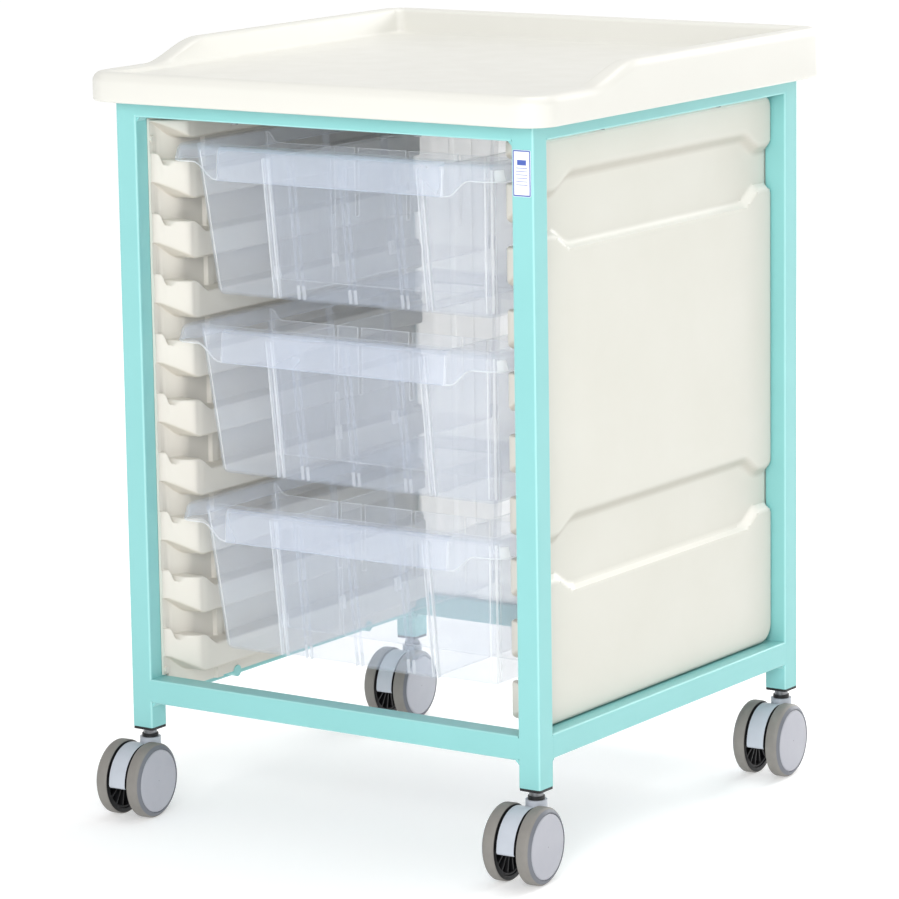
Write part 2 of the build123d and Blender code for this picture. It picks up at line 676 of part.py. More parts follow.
def tapered_block(rim, inset, bottom_round):
    """Solid with the tray's sloping walls, shrunk by inset, open height to the rim."""
    with BuildPart() as block:
        for share, lift in ((0, inset), (1, 0)):
            half, front, rear = section(share, inset)
            with BuildSketch(Plane.XY.offset(rim - TRAY_DEPTH * (1 - share) + lift)):
                with Locations((0, (front + rear) / 2)):
                    RectangleRounded(2 * half, rear - front, TRAY_CORNER - inset)
        loft()
        if bottom_round:
            fillet(block.faces().sort_by(Axis.Z)[0].edges(), bottom_round)
    return block


def make_guides(rim):
    """Pairs of thin upright guides standing proud of the inside walls."""
    slot = DIVIDER_SHEET + 2 * RUNNING_GAP
    offset = (slot + GUIDE_THICK) / 2
    outer = tapered_block(rim, TRAY_WALL / 2, 0)
    inner = tapered_block(rim, TRAY_WALL + GUIDE_PROUD, 0)
    half, front, rear = section(1, 0)
    reach = TRAY_WALL + GUIDE_PROUD + GUIDE_FOOT
    side_reach = half - section(0, reach)[0]
    front_reach = section(0, reach)[1] - front
    rear_reach = rear - section(0, reach)[2]
    with BuildPart() as guides:
        with BuildSketch(Plane.XY.offset(rim - TRAY_DEPTH + TRAY_WALL / 2)):
            for shift in (-offset, offset):
                for y in SIDE_GUIDES_Y:
                    for side in SIDES.values():
                        with Locations((side * (half - side_reach / 2), y + shift)):
                            Rectangle(side_reach, GUIDE_THICK)
                for x in FRONT_GUIDES_X:
                    with Locations((x + shift, front + front_reach / 2)):
                        Rectangle(GUIDE_THICK, front_reach)
                for x in REAR_GUIDES_X:
                    with Locations((x + shift, rear - rear_reach / 2)):
                        Rectangle(GUIDE_THICK, rear_reach)
        extrude(amount=TRAY_DEPTH - DIVIDER_BELOW_RIM - TRAY_WALL / 2)
        add(outer.part, mode=Mode.INTERSECT)
        add(inner.part, mode=Mode.SUBTRACT)
    return guides


def make_tray(rim):
    """Clear tray: sloping box, flat rim with a turned-down apron, handle and rear lugs."""
    outer = tapered_block(rim, 0, FLOOR_ROUND)
    cavity = tapered_block(rim, TRAY_WALL, FLOOR_ROUND - TRAY_WALL)
    guides = make_guides(rim)
    rim_width = 2 * RIM_HALF_WIDTH
    rim_length = RIM_REAR - RIM_FRONT
    rim_middle = (0, (RIM_REAR + RIM_FRONT) / 2)
    with BuildPart() as tray:
        # apron ring, as deep as the handle, then cut back to its swept lower edge
        with BuildSketch(Plane.XY.offset(rim - HANDLE_DEPTH)):
            with Locations(rim_middle):
                RectangleRounded(rim_width, rim_length, RIM_CORNER)
                RectangleRounded(
                    rim_width - 2 * TRAY_WALL,
                    rim_length - 2 * TRAY_WALL,
                    RIM_CORNER - TRAY_WALL,
                    mode=Mode.SUBTRACT,
                )
        extrude(amount=HANDLE_DEPTH)
        apron = rim - APRON_DEPTH
        lowest = rim - HANDLE_DEPTH
        low_x, high_x = APRON_SWEEP
        front_edge = RIM_FRONT + RIM_CORNER
        with BuildSketch(Plane.XZ.offset(-RIM_REAR - 1)):
            for side in SIDES.values():
                with BuildLine():
                    sweep = Spline(
                        (side * low_x, lowest), (side * high_x, apron), tangents=[(side, 0), (side, 0)]
                    )
                    Polyline(
                        sweep @ 1,
                        (side * rim_width, apron),
                        (side * rim_width, lowest - 1),
                        (side * low_x, lowest - 1),
                        sweep @ 0,
                    )
                make_face()
        extrude(amount=2 * rim_length, mode=Mode.SUBTRACT)
        # behind the front apron the rear one is level with the sides
        with BuildSketch(Plane.XY.offset(lowest)):
            with Locations((0, front_edge)):
                Rectangle(rim_width, rim_length, align=(Align.CENTER, Align.MIN))
        extrude(amount=HANDLE_DEPTH - APRON_DEPTH, mode=Mode.SUBTRACT)
        # side runners a little deeper, and rear lugs that reach the ledge
        for side in SIDES.values():
            edge = side * (RIM_HALF_WIDTH - TRAY_WALL / 2)
            runner_length = LUG_Y[1] - front_edge
            with BuildSketch(Plane.XY.offset(rim - SIDE_APRON_DEPTH)):
                with Locations((edge, front_edge + runner_length / 2)):
                    Rectangle(TRAY_WALL, runner_length)
            extrude(amount=SIDE_APRON_DEPTH - TRAY_WALL / 2)
            with BuildSketch(Plane.XY.offset(rim - RIM_ABOVE_LEDGE + SHAFT_GAP)):
                with Locations((edge - side * (LUG_WALL - TRAY_WALL) / 2, sum(LUG_Y) / 2)):
                    Rectangle(LUG_WALL, LUG_Y[1] - LUG_Y[0])
            extrude(amount=RIM_ABOVE_LEDGE - TRAY_WALL / 2)
        # flat rim
        with BuildSketch(Plane.XY.offset(rim - TRAY_WALL)):
            with Locations(rim_middle):
                RectangleRounded(rim_width, rim_length, RIM_CORNER)
        extrude(amount=TRAY_WALL)
        # handle front, standing a little proud of the apron
        with BuildSketch(Plane.XZ.offset(-RIM_FRONT - TRAY_WALL)):
            with Locations((0, rim - HANDLE_DEPTH / 2)):
                RectangleRounded(2 * HANDLE_HALF_WIDTH, HANDLE_DEPTH, 2)
        extrude(amount=TRAY_WALL + HANDLE_PROUD)
        with BuildSketch(Plane.XZ.offset(-RIM_FRONT)):
            with Locations((0, rim - HANDLE_DEPTH / 2 - TRAY_WALL)):
                Rectangle(2 * (HANDLE_HALF_WIDTH - TRAY_WALL), HANDLE_DEPTH)
        extrude(amount=-2 * TRAY_WALL, mode=Mode.SUBTRACT)
        add(outer.part)
        add(cavity.part, mode=Mode.SUBTRACT)
        add(guides.part)
    return tray


def make_cross_divider(rim):
    """Upright sheet across the tray, with ears up to the rim and slots from above."""
    top = rim - DIVIDER_BELOW_RIM
    floor = rim - TRAY_DEPTH + TRAY_WALL + RUNNING_GAP
    low = section(0.02, TRAY_WALL + RUNNING_GAP)[0]
    high = section(1, TRAY_WALL + RUNNING_GAP)[0]
    toe = 5.0
    ear = 14.0
    with BuildPart() as divider:
        with BuildSketch(Plane.XZ.offset(-CROSS_DIVIDER_Y)):
            with BuildLine():
                for side in SIDES.values():
                    ear_curve = Spline(
                        (side * (high - 2 - ear), top),
                        (side * (high - 2), rim - 1),
                        tangents=[(side, 0.1), (side, 0.1)],
                    )
                    Polyline(
                        ear_curve @ 1,
                        (side * (high - 0.1), rim - 1),
                        (side * low, floor + toe),
                        (side * (low - toe), floor),
                        (0, floor),
                    )
                    Line(ear_curve @ 0, (0, top))
            make_face()
        extrude(amount=DIVIDER_SHEET / 2, both=True)
        slot_bottom = rim - SLOT_BELOW_RIM
        with BuildSketch(Plane.XY.offset(slot_bottom)):
            with Locations(*[(x, CROSS_DIVIDER_Y) for x in FRONT_GUIDES_X]):
                Rectangle(DIVIDER_SHEET + 2 * RUNNING_GAP, 3 * DIVIDER_SHEET)
        extrude(amount=TRAY_DEPTH, mode=Mode.SUBTRACT)
    return divider


def make_long_dividers(rim):
    """Two upright sheets from front to rear, slotted from below over the cross divider."""
    top = rim - DIVIDER_BELOW_RIM
    floor = rim - TRAY_DEPTH + TRAY_WALL + RUNNING_GAP
    gap = TRAY_WALL + RUNNING_GAP
    low_front, low_rear = section(0.02, gap)[1:]
    high_front, high_rear = section(1 - DIVIDER_BELOW_RIM / TRAY_DEPTH, gap)[1:]
    toe = 5.0
    with BuildPart() as dividers:
        for side in SIDES.values():
            with BuildSketch(Plane.YZ.offset(side * LONG_DIVIDER_X)):
                Polygon(
                    (low_front + toe, floor),
                    (low_front, floor + toe),
                    (high_front, top),
                    (high_rear, top),
                    (low_rear, floor + toe),
                    (low_rear - toe, floor),
                    align=None,
                )
            extrude(amount=DIVIDER_SHEET / 2, both=True)
        with BuildSketch(Plane.XY.offset(floor - 1)):
            with Locations((0, CROSS_DIVIDER_Y)):
                Rectangle(2 * RIM_HALF_WIDTH, DIVIDER_SHEET + 2 * RUNNING_GAP)
        extrude(amount=TRAY_DEPTH - SLOT_BELOW_RIM - TRAY_WALL + 1, mode=Mode.SUBTRACT)
    return dividers


for name, runner_number in zip(("upper", "middle", "lower"), TRAY_RUNNERS):
    rim_height = top_ledge - RUNNER_PITCH * runner_number + RIM_ABOVE_LEDGE
    save(make_tray(rim_height), f"{name}_tray")
    save(make_cross_divider(rim_height), f"{name}_tray_cross_divider")
    save(make_long_dividers(rim_height), f"{name}_tray_long_dividers")

# ---------------------------------------------------------------- casters

AXLE_HEIGHT = WHEEL_RADIUS
NECK_TOP = LEG_BOTTOM - 12.0
NECK_BOTTOM = LEG_BOTTOM - 31.0
COLLAR_TOP = LEG_BOTTOM - 8.4
COLLAR_BOTTOM = NECK_TOP + SHAFT_GAP
COLLAR_RADIUS = 8.4
STEM_COLLAR_RADIUS = 7.0
PIN_HEAD = (6.0, 2.5)
FENDER_OUTER = 36.5
FENDER_INNER = 29.0
FENDER_SWEEP = 118.0
FENDER_WIDTH = 19.0
WEB_WIDTH = 9.0
BOSS_RADIUS = 8.5
SPOKE_COUNT = 8
SPOKE_THICK = 2.2
RIM_INNER = 30.4
HUB_DISC = 2.0
AXLE_HALF = 24.6

heading = math.radians(CASTER_HEADING)
trail_way = (math.sin(heading), -math.cos(heading), 0)
axle_way = (math.cos(heading), math.sin(heading), 0)

# Stems: a grip stem in the insert, a collar below it, and the swivel pin with
# its riveted head inside the neck of the housing.
with BuildPart() as caster_stems:
    steps = (
        (STEM_RADIUS, LEG_BOTTOM - INSERT_FLANGE, LEG_BOTTOM + INSERT_PLUG_LENGTH - 2),
        (STEM_COLLAR_RADIUS, COLLAR_TOP, LEG_BOTTOM - INSERT_FLANGE),
        (PIN_RADIUS, NECK_BOTTOM - PIN_HEAD[1] - SHAFT_GAP, COLLAR_TOP),
        (PIN_HEAD[0], NECK_BOTTOM - PIN_HEAD[1] - SHAFT_GAP, NECK_BOTTOM - SHAFT_GAP),
    )
    for radius, bottom, top in steps:
        with BuildSketch(Plane.XY.offset(bottom)):
            with Locations(*corners):
                Circle(radius)
        extrude(amount=top - bottom)
save(caster_stems, "caster_stems")

# Black bearing rings round the swivel pins, between the collars and the necks.
with BuildPart() as caster_bearing_rings:
    with BuildSketch(Plane.XY.offset(COLLAR_BOTTOM)):
        with Locations(*corners):
            Circle(COLLAR_RADIUS)
            Circle(PIN_RADIUS + SHAFT_GAP, mode=Mode.SUBTRACT)
    extrude(amount=COLLAR_TOP - COLLAR_BOTTOM)
save(caster_bearing_rings, "caster_bearing_rings")


def ring_sector(outer, inner, start, stop):
    """Face between two arcs about the axle, from start to stop degrees above the trail."""
    with BuildSketch(Plane.XY) as sector:
        with BuildLine():
            outer_arc = CenterArc((0, 0), outer, start, stop - start)
            inner_arc = CenterArc((0, 0), inner, start, stop - start)
            end_turn = (outer + inner) / 2
            low = math.radians(start)
            tip = (
                end_turn * math.cos(low) + math.sin(low) * (outer - inner) / 2,
                end_turn * math.sin(low) - math.cos(low) * (outer - inner) / 2,
            )
            ThreePointArc(inner_arc @ 0, tip, outer_arc @ 0)
            Line(outer_arc @ 1, inner_arc @ 1)
        make_face()
    return sector.sketch


fender_face = ring_sector(FENDER_OUTER, FENDER_INNER, 0, FENDER_SWEEP)


def make_housing(x, y):
    """Swivel housing: neck on the pin, fender over the wheels, web and axle boss."""
    axle_point = (x + CASTER_TRAIL * trail_way[0], y + CASTER_TRAIL * trail_way[1], AXLE_HEIGHT)
    side_plane = Plane(origin=axle_point, x_dir=trail_way, z_dir=[-a for a in axle_way])
    with BuildPart() as housing:
        with BuildSketch(side_plane):
            add(fender_face)
        extrude(amount=FENDER_WIDTH / 2, both=True)
        # web from the boss out to the fender and back under the neck
        with BuildSketch(side_plane):
            Circle(BOSS_RADIUS)
            web_top = math.sqrt(FENDER_INNER ** 2 - BOSS_RADIUS ** 2)
            Polygon(
                (-BOSS_RADIUS * 0.7, -BOSS_RADIUS * 0.7),
                (BOSS_RADIUS, 0),
                (BOSS_RADIUS, web_top + 1),
                (-CASTER_TRAIL * 0.45, FENDER_INNER - 1),
                (-CASTER_TRAIL * 0.85, FENDER_INNER - 8),
                align=None,
            )
        extrude(amount=WEB_WIDTH / 2, both=True)
        with BuildSketch(Plane.XY.offset(NECK_BOTTOM - PIN_HEAD[1] - 2)):
            with Locations((x, y)):
                Circle(NECK_RADIUS)
        extrude(amount=NECK_TOP - NECK_BOTTOM + PIN_HEAD[1] + 2)
        # pin bore, with a wider pocket below it for the riveted head
        with BuildSketch(Plane.XY.offset(NECK_BOTTOM)):
            with Locations((x, y)):
                Circle(PIN_RADIUS + SHAFT_GAP)
        extrude(amount=NECK_TOP - NECK_BOTTOM, mode=Mode.SUBTRACT)
        with BuildSketch(Plane.XY.offset(AXLE_HEIGHT)):
            with Locations((x, y)):
                Circle(PIN_HEAD[0] + 0.6)
        extrude(amount=NECK_BOTTOM - AXLE_HEIGHT, mode=Mode.SUBTRACT)
        with BuildSketch(side_plane):
            Circle(AXLE_RADIUS + SHAFT_GAP)
        extrude(amount=FENDER_WIDTH, both=True, mode=Mode.SUBTRACT)
    return housing


def make_axle(x, y):
    """Steel axle through the housing boss into both wheel hubs."""
    axle_point = (x + CASTER_TRAIL * trail_way[0], y + CASTER_TRAIL * trail_way[1], AXLE_HEIGHT)
    with BuildPart() as axle:
        with BuildSketch(Plane(origin=axle_point, x_dir=trail_way, z_dir=[-a for a in axle_way])):
            Circle(AXLE_RADIUS)
        extrude(amount=AXLE_HALF, both=True)
    return axle


def make_wheel(x, y, side):
    """One wheel of a pair: its tyre, and its core with disc, rim, spokes and hub."""
    axle_point = (x + CASTER_TRAIL * trail_way[0], y + CASTER_TRAIL * trail_way[1], AXLE_HEIGHT)
    outward = tuple(side * a for a in axle_way)
    # profiles are drawn with x along the axle and y as the radius
    profile_plane = Plane(origin=axle_point, x_dir=outward, z_dir=[-side * t for t in trail_way])
    turn_axis = Axis(axle_point, outward)
    with BuildPart() as tyre:
        with BuildSketch(profile_plane):
            Polygon(
                (TREAD_INSIDE, TYRE_BORE),
                (TREAD_INSIDE, WHEEL_RADIUS - 1.2),
                (TREAD_INSIDE + 1.2, WHEEL_RADIUS),
                (TREAD_OUTSIDE, WHEEL_RADIUS),
                (WHEEL_OUTSIDE, TYRE_BORE + 0.6),
                (WHEEL_OUTSIDE, TYRE_BORE),
                align=None,
            )
        revolve(axis=turn_axis)
    with BuildPart() as core:
        with BuildSketch(profile_plane):
            disc_inside = WHEEL_OUTSIDE - HUB_DISC
            Polygon(
                (disc_inside, 0),
                (disc_inside, RIM_INNER),
                (TREAD_INSIDE + 0.2, RIM_INNER),
                (TREAD_INSIDE + 0.2, TYRE_BORE),
                (WHEEL_OUTSIDE - 0.6, TYRE_BORE),
                (WHEEL_OUTSIDE, TYRE_BORE - 0.8),
                (WHEEL_OUTSIDE, 0),
                align=None,
            )
            with Locations(((TREAD_INSIDE + disc_inside) / 2 + 0.1, BOSS_RADIUS / 2)):
                Rectangle(disc_inside - TREAD_INSIDE, BOSS_RADIUS)
        revolve(axis=turn_axis)
        spoke_foot = tuple(p + a * (TREAD_INSIDE + 2) for p, a in zip(axle_point, outward))
        spoke_plane = Plane(origin=spoke_foot, x_dir=trail_way, z_dir=outward)
        with BuildSketch(spoke_plane):
            with PolarLocations(0, SPOKE_COUNT):
                with Locations(((BOSS_RADIUS + RIM_INNER) / 2, 0)):
                    Rectangle(RIM_INNER - BOSS_RADIUS + 1, SPOKE_THICK)
        extrude(amount=disc_inside - TREAD_INSIDE - 1)
        with BuildSketch(Plane(origin=axle_point, x_dir=trail_way, z_dir=outward)):
            Circle(AXLE_RADIUS + SHAFT_GAP)
        extrude(amount=AXLE_HALF + SHAFT_GAP, mode=Mode.SUBTRACT)
    return tyre, core


for side_name, side in SIDES.items():
    for end_name, end in ENDS.items():
        x, y = side * LEG_MIDDLE, end * LEG_MIDDLE
        caster = f"{end_name}_{side_name}_caster"
        save(make_housing(x, y), f"{caster}_housing")
        save(make_axle(x, y), f"{caster}_axle")
        for wheel_name, wheel_side in SIDES.items():
            tyre, core = make_wheel(x, y, wheel_side)
            save(tyre, f"{caster}_{wheel_name}_tyre")
            save(core, f"{caster}_{wheel_name}_wheel")
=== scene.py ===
import math

import bmesh
import bpy
from mathutils import Matrix, Vector


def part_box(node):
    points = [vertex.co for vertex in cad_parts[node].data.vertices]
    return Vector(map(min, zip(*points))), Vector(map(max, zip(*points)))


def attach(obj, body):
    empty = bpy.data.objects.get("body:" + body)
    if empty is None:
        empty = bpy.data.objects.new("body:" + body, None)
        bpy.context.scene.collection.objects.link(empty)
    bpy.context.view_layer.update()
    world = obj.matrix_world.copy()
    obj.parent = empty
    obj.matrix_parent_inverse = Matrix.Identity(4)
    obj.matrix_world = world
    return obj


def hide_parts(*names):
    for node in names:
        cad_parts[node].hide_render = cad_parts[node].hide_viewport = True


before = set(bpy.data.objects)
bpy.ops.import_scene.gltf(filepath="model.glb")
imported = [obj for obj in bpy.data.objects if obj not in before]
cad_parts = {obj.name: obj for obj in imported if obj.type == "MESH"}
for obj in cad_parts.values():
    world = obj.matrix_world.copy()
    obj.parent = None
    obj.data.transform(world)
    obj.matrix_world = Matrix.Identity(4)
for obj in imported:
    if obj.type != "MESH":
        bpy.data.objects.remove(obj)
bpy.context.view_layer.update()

# Lengths are in metres, written in millimetres where that reads better.
MM = 0.001
SIDES = {"left": -1, "right": 1}
ENDS = {"front": -1, "rear": 1}
TRAYS = ("upper", "middle", "lower")

# ---------------------------------------------------------------- camera, floor and light

CAMERA_PLACE = (2.5124, -3.7081, 1.2128)
CAMERA_AZIMUTH = math.radians(34.34)
CAMERA_ELEVATION = math.radians(10.77)
CAMERA_ROLL = math.radians(-0.85)
CAMERA_LENS = 176.7
CAMERA_SENSOR = 36.0
LIGHT_TARGET = (0, 0, 0.4)
WHITE = (1.0, 1.0, 1.0, 1)
SKY_STRENGTH = 0.6
HORIZON_STRENGTH = 0.9
SKY_RISE = (0.12, 0.3)
FLOOR_SIZE = 240
FLOOR_PAINT = (0.76, 0.76, 0.76, 1)
NEAR_GLOW = 0.36
FAR_GLOW = 0.56
GLOW_REACH = (0.5, 3.0)


def new_object(name, data):
    item = bpy.data.objects.new(name, data)
    bpy.context.scene.collection.objects.link(item)
    return item


def add_camera():
    """Camera at the photographed angle: level direction from the azimuth, tipped down, then rolled."""
    forward = Vector((
        -math.sin(CAMERA_AZIMUTH) * math.cos(CAMERA_ELEVATION),
        math.cos(CAMERA_AZIMUTH) * math.cos(CAMERA_ELEVATION),
        -math.sin(CAMERA_ELEVATION),
    ))
    level_right = Vector((math.cos(CAMERA_AZIMUTH), math.sin(CAMERA_AZIMUTH), 0))
    level_up = level_right.cross(forward)
    right = level_right * math.cos(CAMERA_ROLL) + level_up * math.sin(CAMERA_ROLL)
    up = level_up * math.cos(CAMERA_ROLL) - level_right * math.sin(CAMERA_ROLL)
    data = bpy.data.cameras.new("camera")
    data.lens = CAMERA_LENS
    data.sensor_width = CAMERA_SENSOR
    camera = new_object("camera", data)
    turn = Matrix((right, up, -forward)).transposed().to_4x4()
    camera.matrix_world = Matrix.Translation(CAMERA_PLACE) @ turn
    bpy.context.scene.camera = camera


def add_area_light(name, place, size, power):
    """Square soft light that faces the middle of the cabinet."""
    data = bpy.data.lights.new(name, "AREA")
    data.shape = "RECTANGLE"
    data.size = data.size_y = size
    data.energy = power
    light = new_object(name, data)
    aim = Vector(LIGHT_TARGET) - Vector(place)
    light.rotation_euler = aim.to_track_quat("-Z", "Y").to_euler()
    light.location = place


def add_studio():
    """Plain floor lit from within like a light table, a white surround and large soft lights."""
    world = bpy.data.worlds.new("studio")
    world.use_nodes = True
    nodes, links = world.node_tree.nodes, world.node_tree.links
    place = nodes.new("ShaderNodeTexCoord")
    split = nodes.new("ShaderNodeSeparateXYZ")
    links.new(place.outputs["Generated"], split.inputs["Vector"])
    rise = ranged(nodes, links, split.outputs["Z"], *SKY_RISE, HORIZON_STRENGTH, SKY_STRENGTH)
    links.new(rise, nodes["Background"].inputs["Strength"])
    set_inputs(nodes["Background"], {"Color": WHITE})
    bpy.context.scene.world = world
    add_area_light("key", (1.75, -3.55, 1.7), 1.6, 78)
    add_area_light("top", (0.3, 0.5, 3.2), 1.8, 34)
    add_area_light("back", (0.4, 3.0, 1.3), 1.8, 64)
    bpy.ops.mesh.primitive_grid_add(x_subdivisions=8, y_subdivisions=8, size=FLOOR_SIZE)
    floor = bpy.context.object
    floor.name = "floor"
    material, nodes, links, shader = new_material("floor_paint")
    set_inputs(shader, {"Base Color": FLOOR_PAINT, "Roughness": 0.8, "Emission Color": WHITE})
    place = nodes.new("ShaderNodeTexCoord")
    reach = nodes.new("ShaderNodeVectorMath")
    reach.operation = "LENGTH"
    links.new(place.outputs["Object"], reach.inputs[0])
    glow = ranged(nodes, links, reach.outputs["Value"], *GLOW_REACH, NEAR_GLOW, FAR_GLOW)
    links.new(glow, shader.inputs["Emission Strength"])
    floor.data.materials.append(material)


# ---------------------------------------------------------------- materials

# Height of the surface normal where the painted shade and painted highlight start and where they are full.
LEAN_START = 0.08
LEAN_FULL = 0.55
SHEET_ROUGHNESS = 0.16


def srgb(red, green, blue):
    """Linear colour from 0 to 255 display values."""
    linear = []
    for value in (red, green, blue):
        share = value / 255
        linear.append(share / 12.92 if share <= 0.04045 else ((share + 0.055) / 1.055) ** 2.4)
    return (*linear, 1.0)


def new_material(name):
    material = bpy.data.materials.new(name)
    material.use_nodes = True
    nodes, links = material.node_tree.nodes, material.node_tree.links
    return material, nodes, links, nodes["Principled BSDF"]


def set_inputs(node, values):
    for name, value in values.items():
        node.inputs[name].default_value = value


def add_noise(nodes, links, place, scale, detail):
    """Noise of the given scale, in cycles a metre, over object coordinates."""
    noise = nodes.new("ShaderNodeTexNoise")
    set_inputs(noise, {"Scale": scale, "Detail": detail})
    links.new(place.outputs["Object"], noise.inputs["Vector"])
    return noise.outputs["Fac"]


def ranged(nodes, links, source, from_low, from_high, to_low, to_high):
    """Source mapped from one range to another, held at the ends."""
    mapped = nodes.new("ShaderNodeMapRange")
    set_inputs(mapped, {
        "From Min": from_low, "From Max": from_high, "To Min": to_low, "To Max": to_high,
    })
    links.new(source, mapped.inputs["Value"])
    return mapped.outputs["Result"]


def spread(nodes, links, noise, low, high):
    """Noise's middle range spread over low to high."""
    return ranged(nodes, links, noise, 0.3, 0.7, low, high)


def add_bump(nodes, links, shader, height, strength, distance):
    bump = nodes.new("ShaderNodeBump")
    set_inputs(bump, {"Strength": strength, "Distance": distance})
    links.new(height, bump.inputs["Height"])
    links.new(bump.outputs["Normal"], shader.inputs["Normal"])


def tint(nodes, links, base, factor, colour):
    """Base colour output mixed towards a colour by a factor output."""
    mix = nodes.new("ShaderNodeMix")
    mix.data_type = "RGBA"
    links.new(base, mix.inputs["A"])
    mix.inputs["B"].default_value = colour
    links.new(factor, mix.inputs["Factor"])
    return mix.outputs["Result"]


def leaning(nodes, links, upward):
    """0 where the surface stands upright, 1 where it faces well up, or well down if not upward."""
    geometry = nodes.new("ShaderNodeNewGeometry")
    split = nodes.new("ShaderNodeSeparateXYZ")
    links.new(geometry.outputs["Normal"], split.inputs["Vector"])
    if upward:
        return ranged(nodes, links, split.outputs["Z"], LEAN_START, LEAN_FULL, 0, 1)
    return ranged(nodes, links, split.outputs["Z"], -LEAN_FULL, -LEAN_START, 1, 0)


def edge_highlight_mask(nodes, links):
    """1 on the rounded edges of square tube, where the powder coat gets a painted highlight, 0 on its
    flats.
    """
    geometry = nodes.new("ShaderNodeNewGeometry")
    size = nodes.new("ShaderNodeVectorMath")
    size.operation = "ABSOLUTE"
    links.new(geometry.outputs["Normal"], size.inputs[0])
    split = nodes.new("ShaderNodeSeparateXYZ")
    links.new(size.outputs["Vector"], split.inputs["Vector"])
    most = split.outputs["X"]
    for axis in "YZ":
        larger = nodes.new("ShaderNodeMath")
        larger.operation = "MAXIMUM"
        links.new(most, larger.inputs[0])
        links.new(split.outputs[axis], larger.inputs[1])
        most = larger.outputs["Value"]
    return ranged(nodes, links, most, 0.78, 0.99, 1, 0)


def moulded(
    name, colour, shade, roughness, grain_scale, grain_depth, cloud_scale=9.0,
    below=None, above=None, edges=None,
):
    """Surface with broad soft colour clouds, a fine grain in its bump and uneven gloss, and where given
    painted shade where it faces down and painted highlight where it faces up or on its edges."""
    material, nodes, links, shader = new_material(name)
    place = nodes.new("ShaderNodeTexCoord")
    cloud = add_noise(nodes, links, place, cloud_scale, 4.0)
    plain = nodes.new("ShaderNodeRGB")
    plain.outputs["Color"].default_value = colour
    base = tint(nodes, links, plain.outputs["Color"], spread(nodes, links, cloud, 0, 1), shade)
    # painted shade where the surface faces down
    if below:
        base = tint(nodes, links, base, leaning(nodes, links, False), below)
    # painted highlight where the surface faces up
    if above:
        base = tint(nodes, links, base, leaning(nodes, links, True), above)
    # painted highlight on the rounded edges
    if edges:
        base = tint(nodes, links, base, edge_highlight_mask(nodes, links), edges)
    links.new(base, shader.inputs["Base Color"])
    smear = add_noise(nodes, links, place, cloud_scale * 6, 3.0)
    gloss = spread(nodes, links, smear, roughness - 0.04, roughness + 0.05)
    links.new(gloss, shader.inputs["Roughness"])
    grain = add_noise(nodes, links, place, grain_scale, 1.5)
    add_bump(nodes, links, shader, grain, 0.5, grain_depth)
    return material


def brushed_metal(name, colour, roughness):
    """Plated steel: fine drawn lines round the part, in its gloss and its bump."""
    material, nodes, links, shader = new_material(name)
    place = nodes.new("ShaderNodeTexCoord")
    stretch = nodes.new("ShaderNodeMapping")
    set_inputs(stretch, {"Scale": (60, 60, 1800)})
    links.new(place.outputs["Object"], stretch.inputs["Vector"])
    lines = nodes.new("ShaderNodeTexNoise")
    set_inputs(lines, {"Scale": 1.0})
    links.new(stretch.outputs["Vector"], lines.inputs["Vector"])
    gloss = spread(nodes, links, lines.outputs["Fac"], roughness - 0.08, roughness + 0.1)
    links.new(gloss, shader.inputs["Roughness"])
    add_bump(nodes, links, shader, lines.outputs["Fac"], 0.25, 0.02 * MM)
    set_inputs(shader, {"Base Color": colour, "Metallic": 1.0})
    return material


def clear_plastic(name, colour, haze, edge_haze):
    """Clear sheet as a thin tinted haze that gathers where the surface turns edge on."""
    material, nodes, links, shader = new_material(name)
    place = nodes.new("ShaderNodeTexCoord")
    flow = add_noise(nodes, links, place, 14.0, 3.0)
    facing = nodes.new("ShaderNodeLayerWeight")
    set_inputs(facing, {"Blend": 0.35})
    level = ranged(nodes, links, facing.outputs["Facing"], 0, 1, haze, edge_haze)
    drift = nodes.new("ShaderNodeMath")
    drift.operation = "MULTIPLY"
    links.new(level, drift.inputs[0])
    links.new(spread(nodes, links, flow, 0.85, 1.15), drift.inputs[1])
    links.new(drift.outputs["Value"], shader.inputs["Alpha"])
    scuffs = add_noise(nodes, links, place, 90.0, 4.0)
    gloss = spread(nodes, links, scuffs, SHEET_ROUGHNESS - 0.05, SHEET_ROUGHNESS + 0.08)
    links.new(gloss, shader.inputs["Roughness"])
    ripple = add_noise(nodes, links, place, 22.0, 1.0)
    add_bump(nodes, links, shader, ripple, 0.35, 0.25 * MM)
    set_inputs(shader, {"Base Color": colour, "IOR": 1.49, "Specular IOR Level": 0.6})
    return material


def thin_sheet(material):
    """Lets some of the light behind a thin pale sheet through it."""
    set_inputs(material.node_tree.nodes["Principled BSDF"], {
        "Subsurface Weight": 1.0,
        "Subsurface Radius": (1.0, 1.0, 1.0),
        "Subsurface Scale": 14 * MM,
    })
    return material


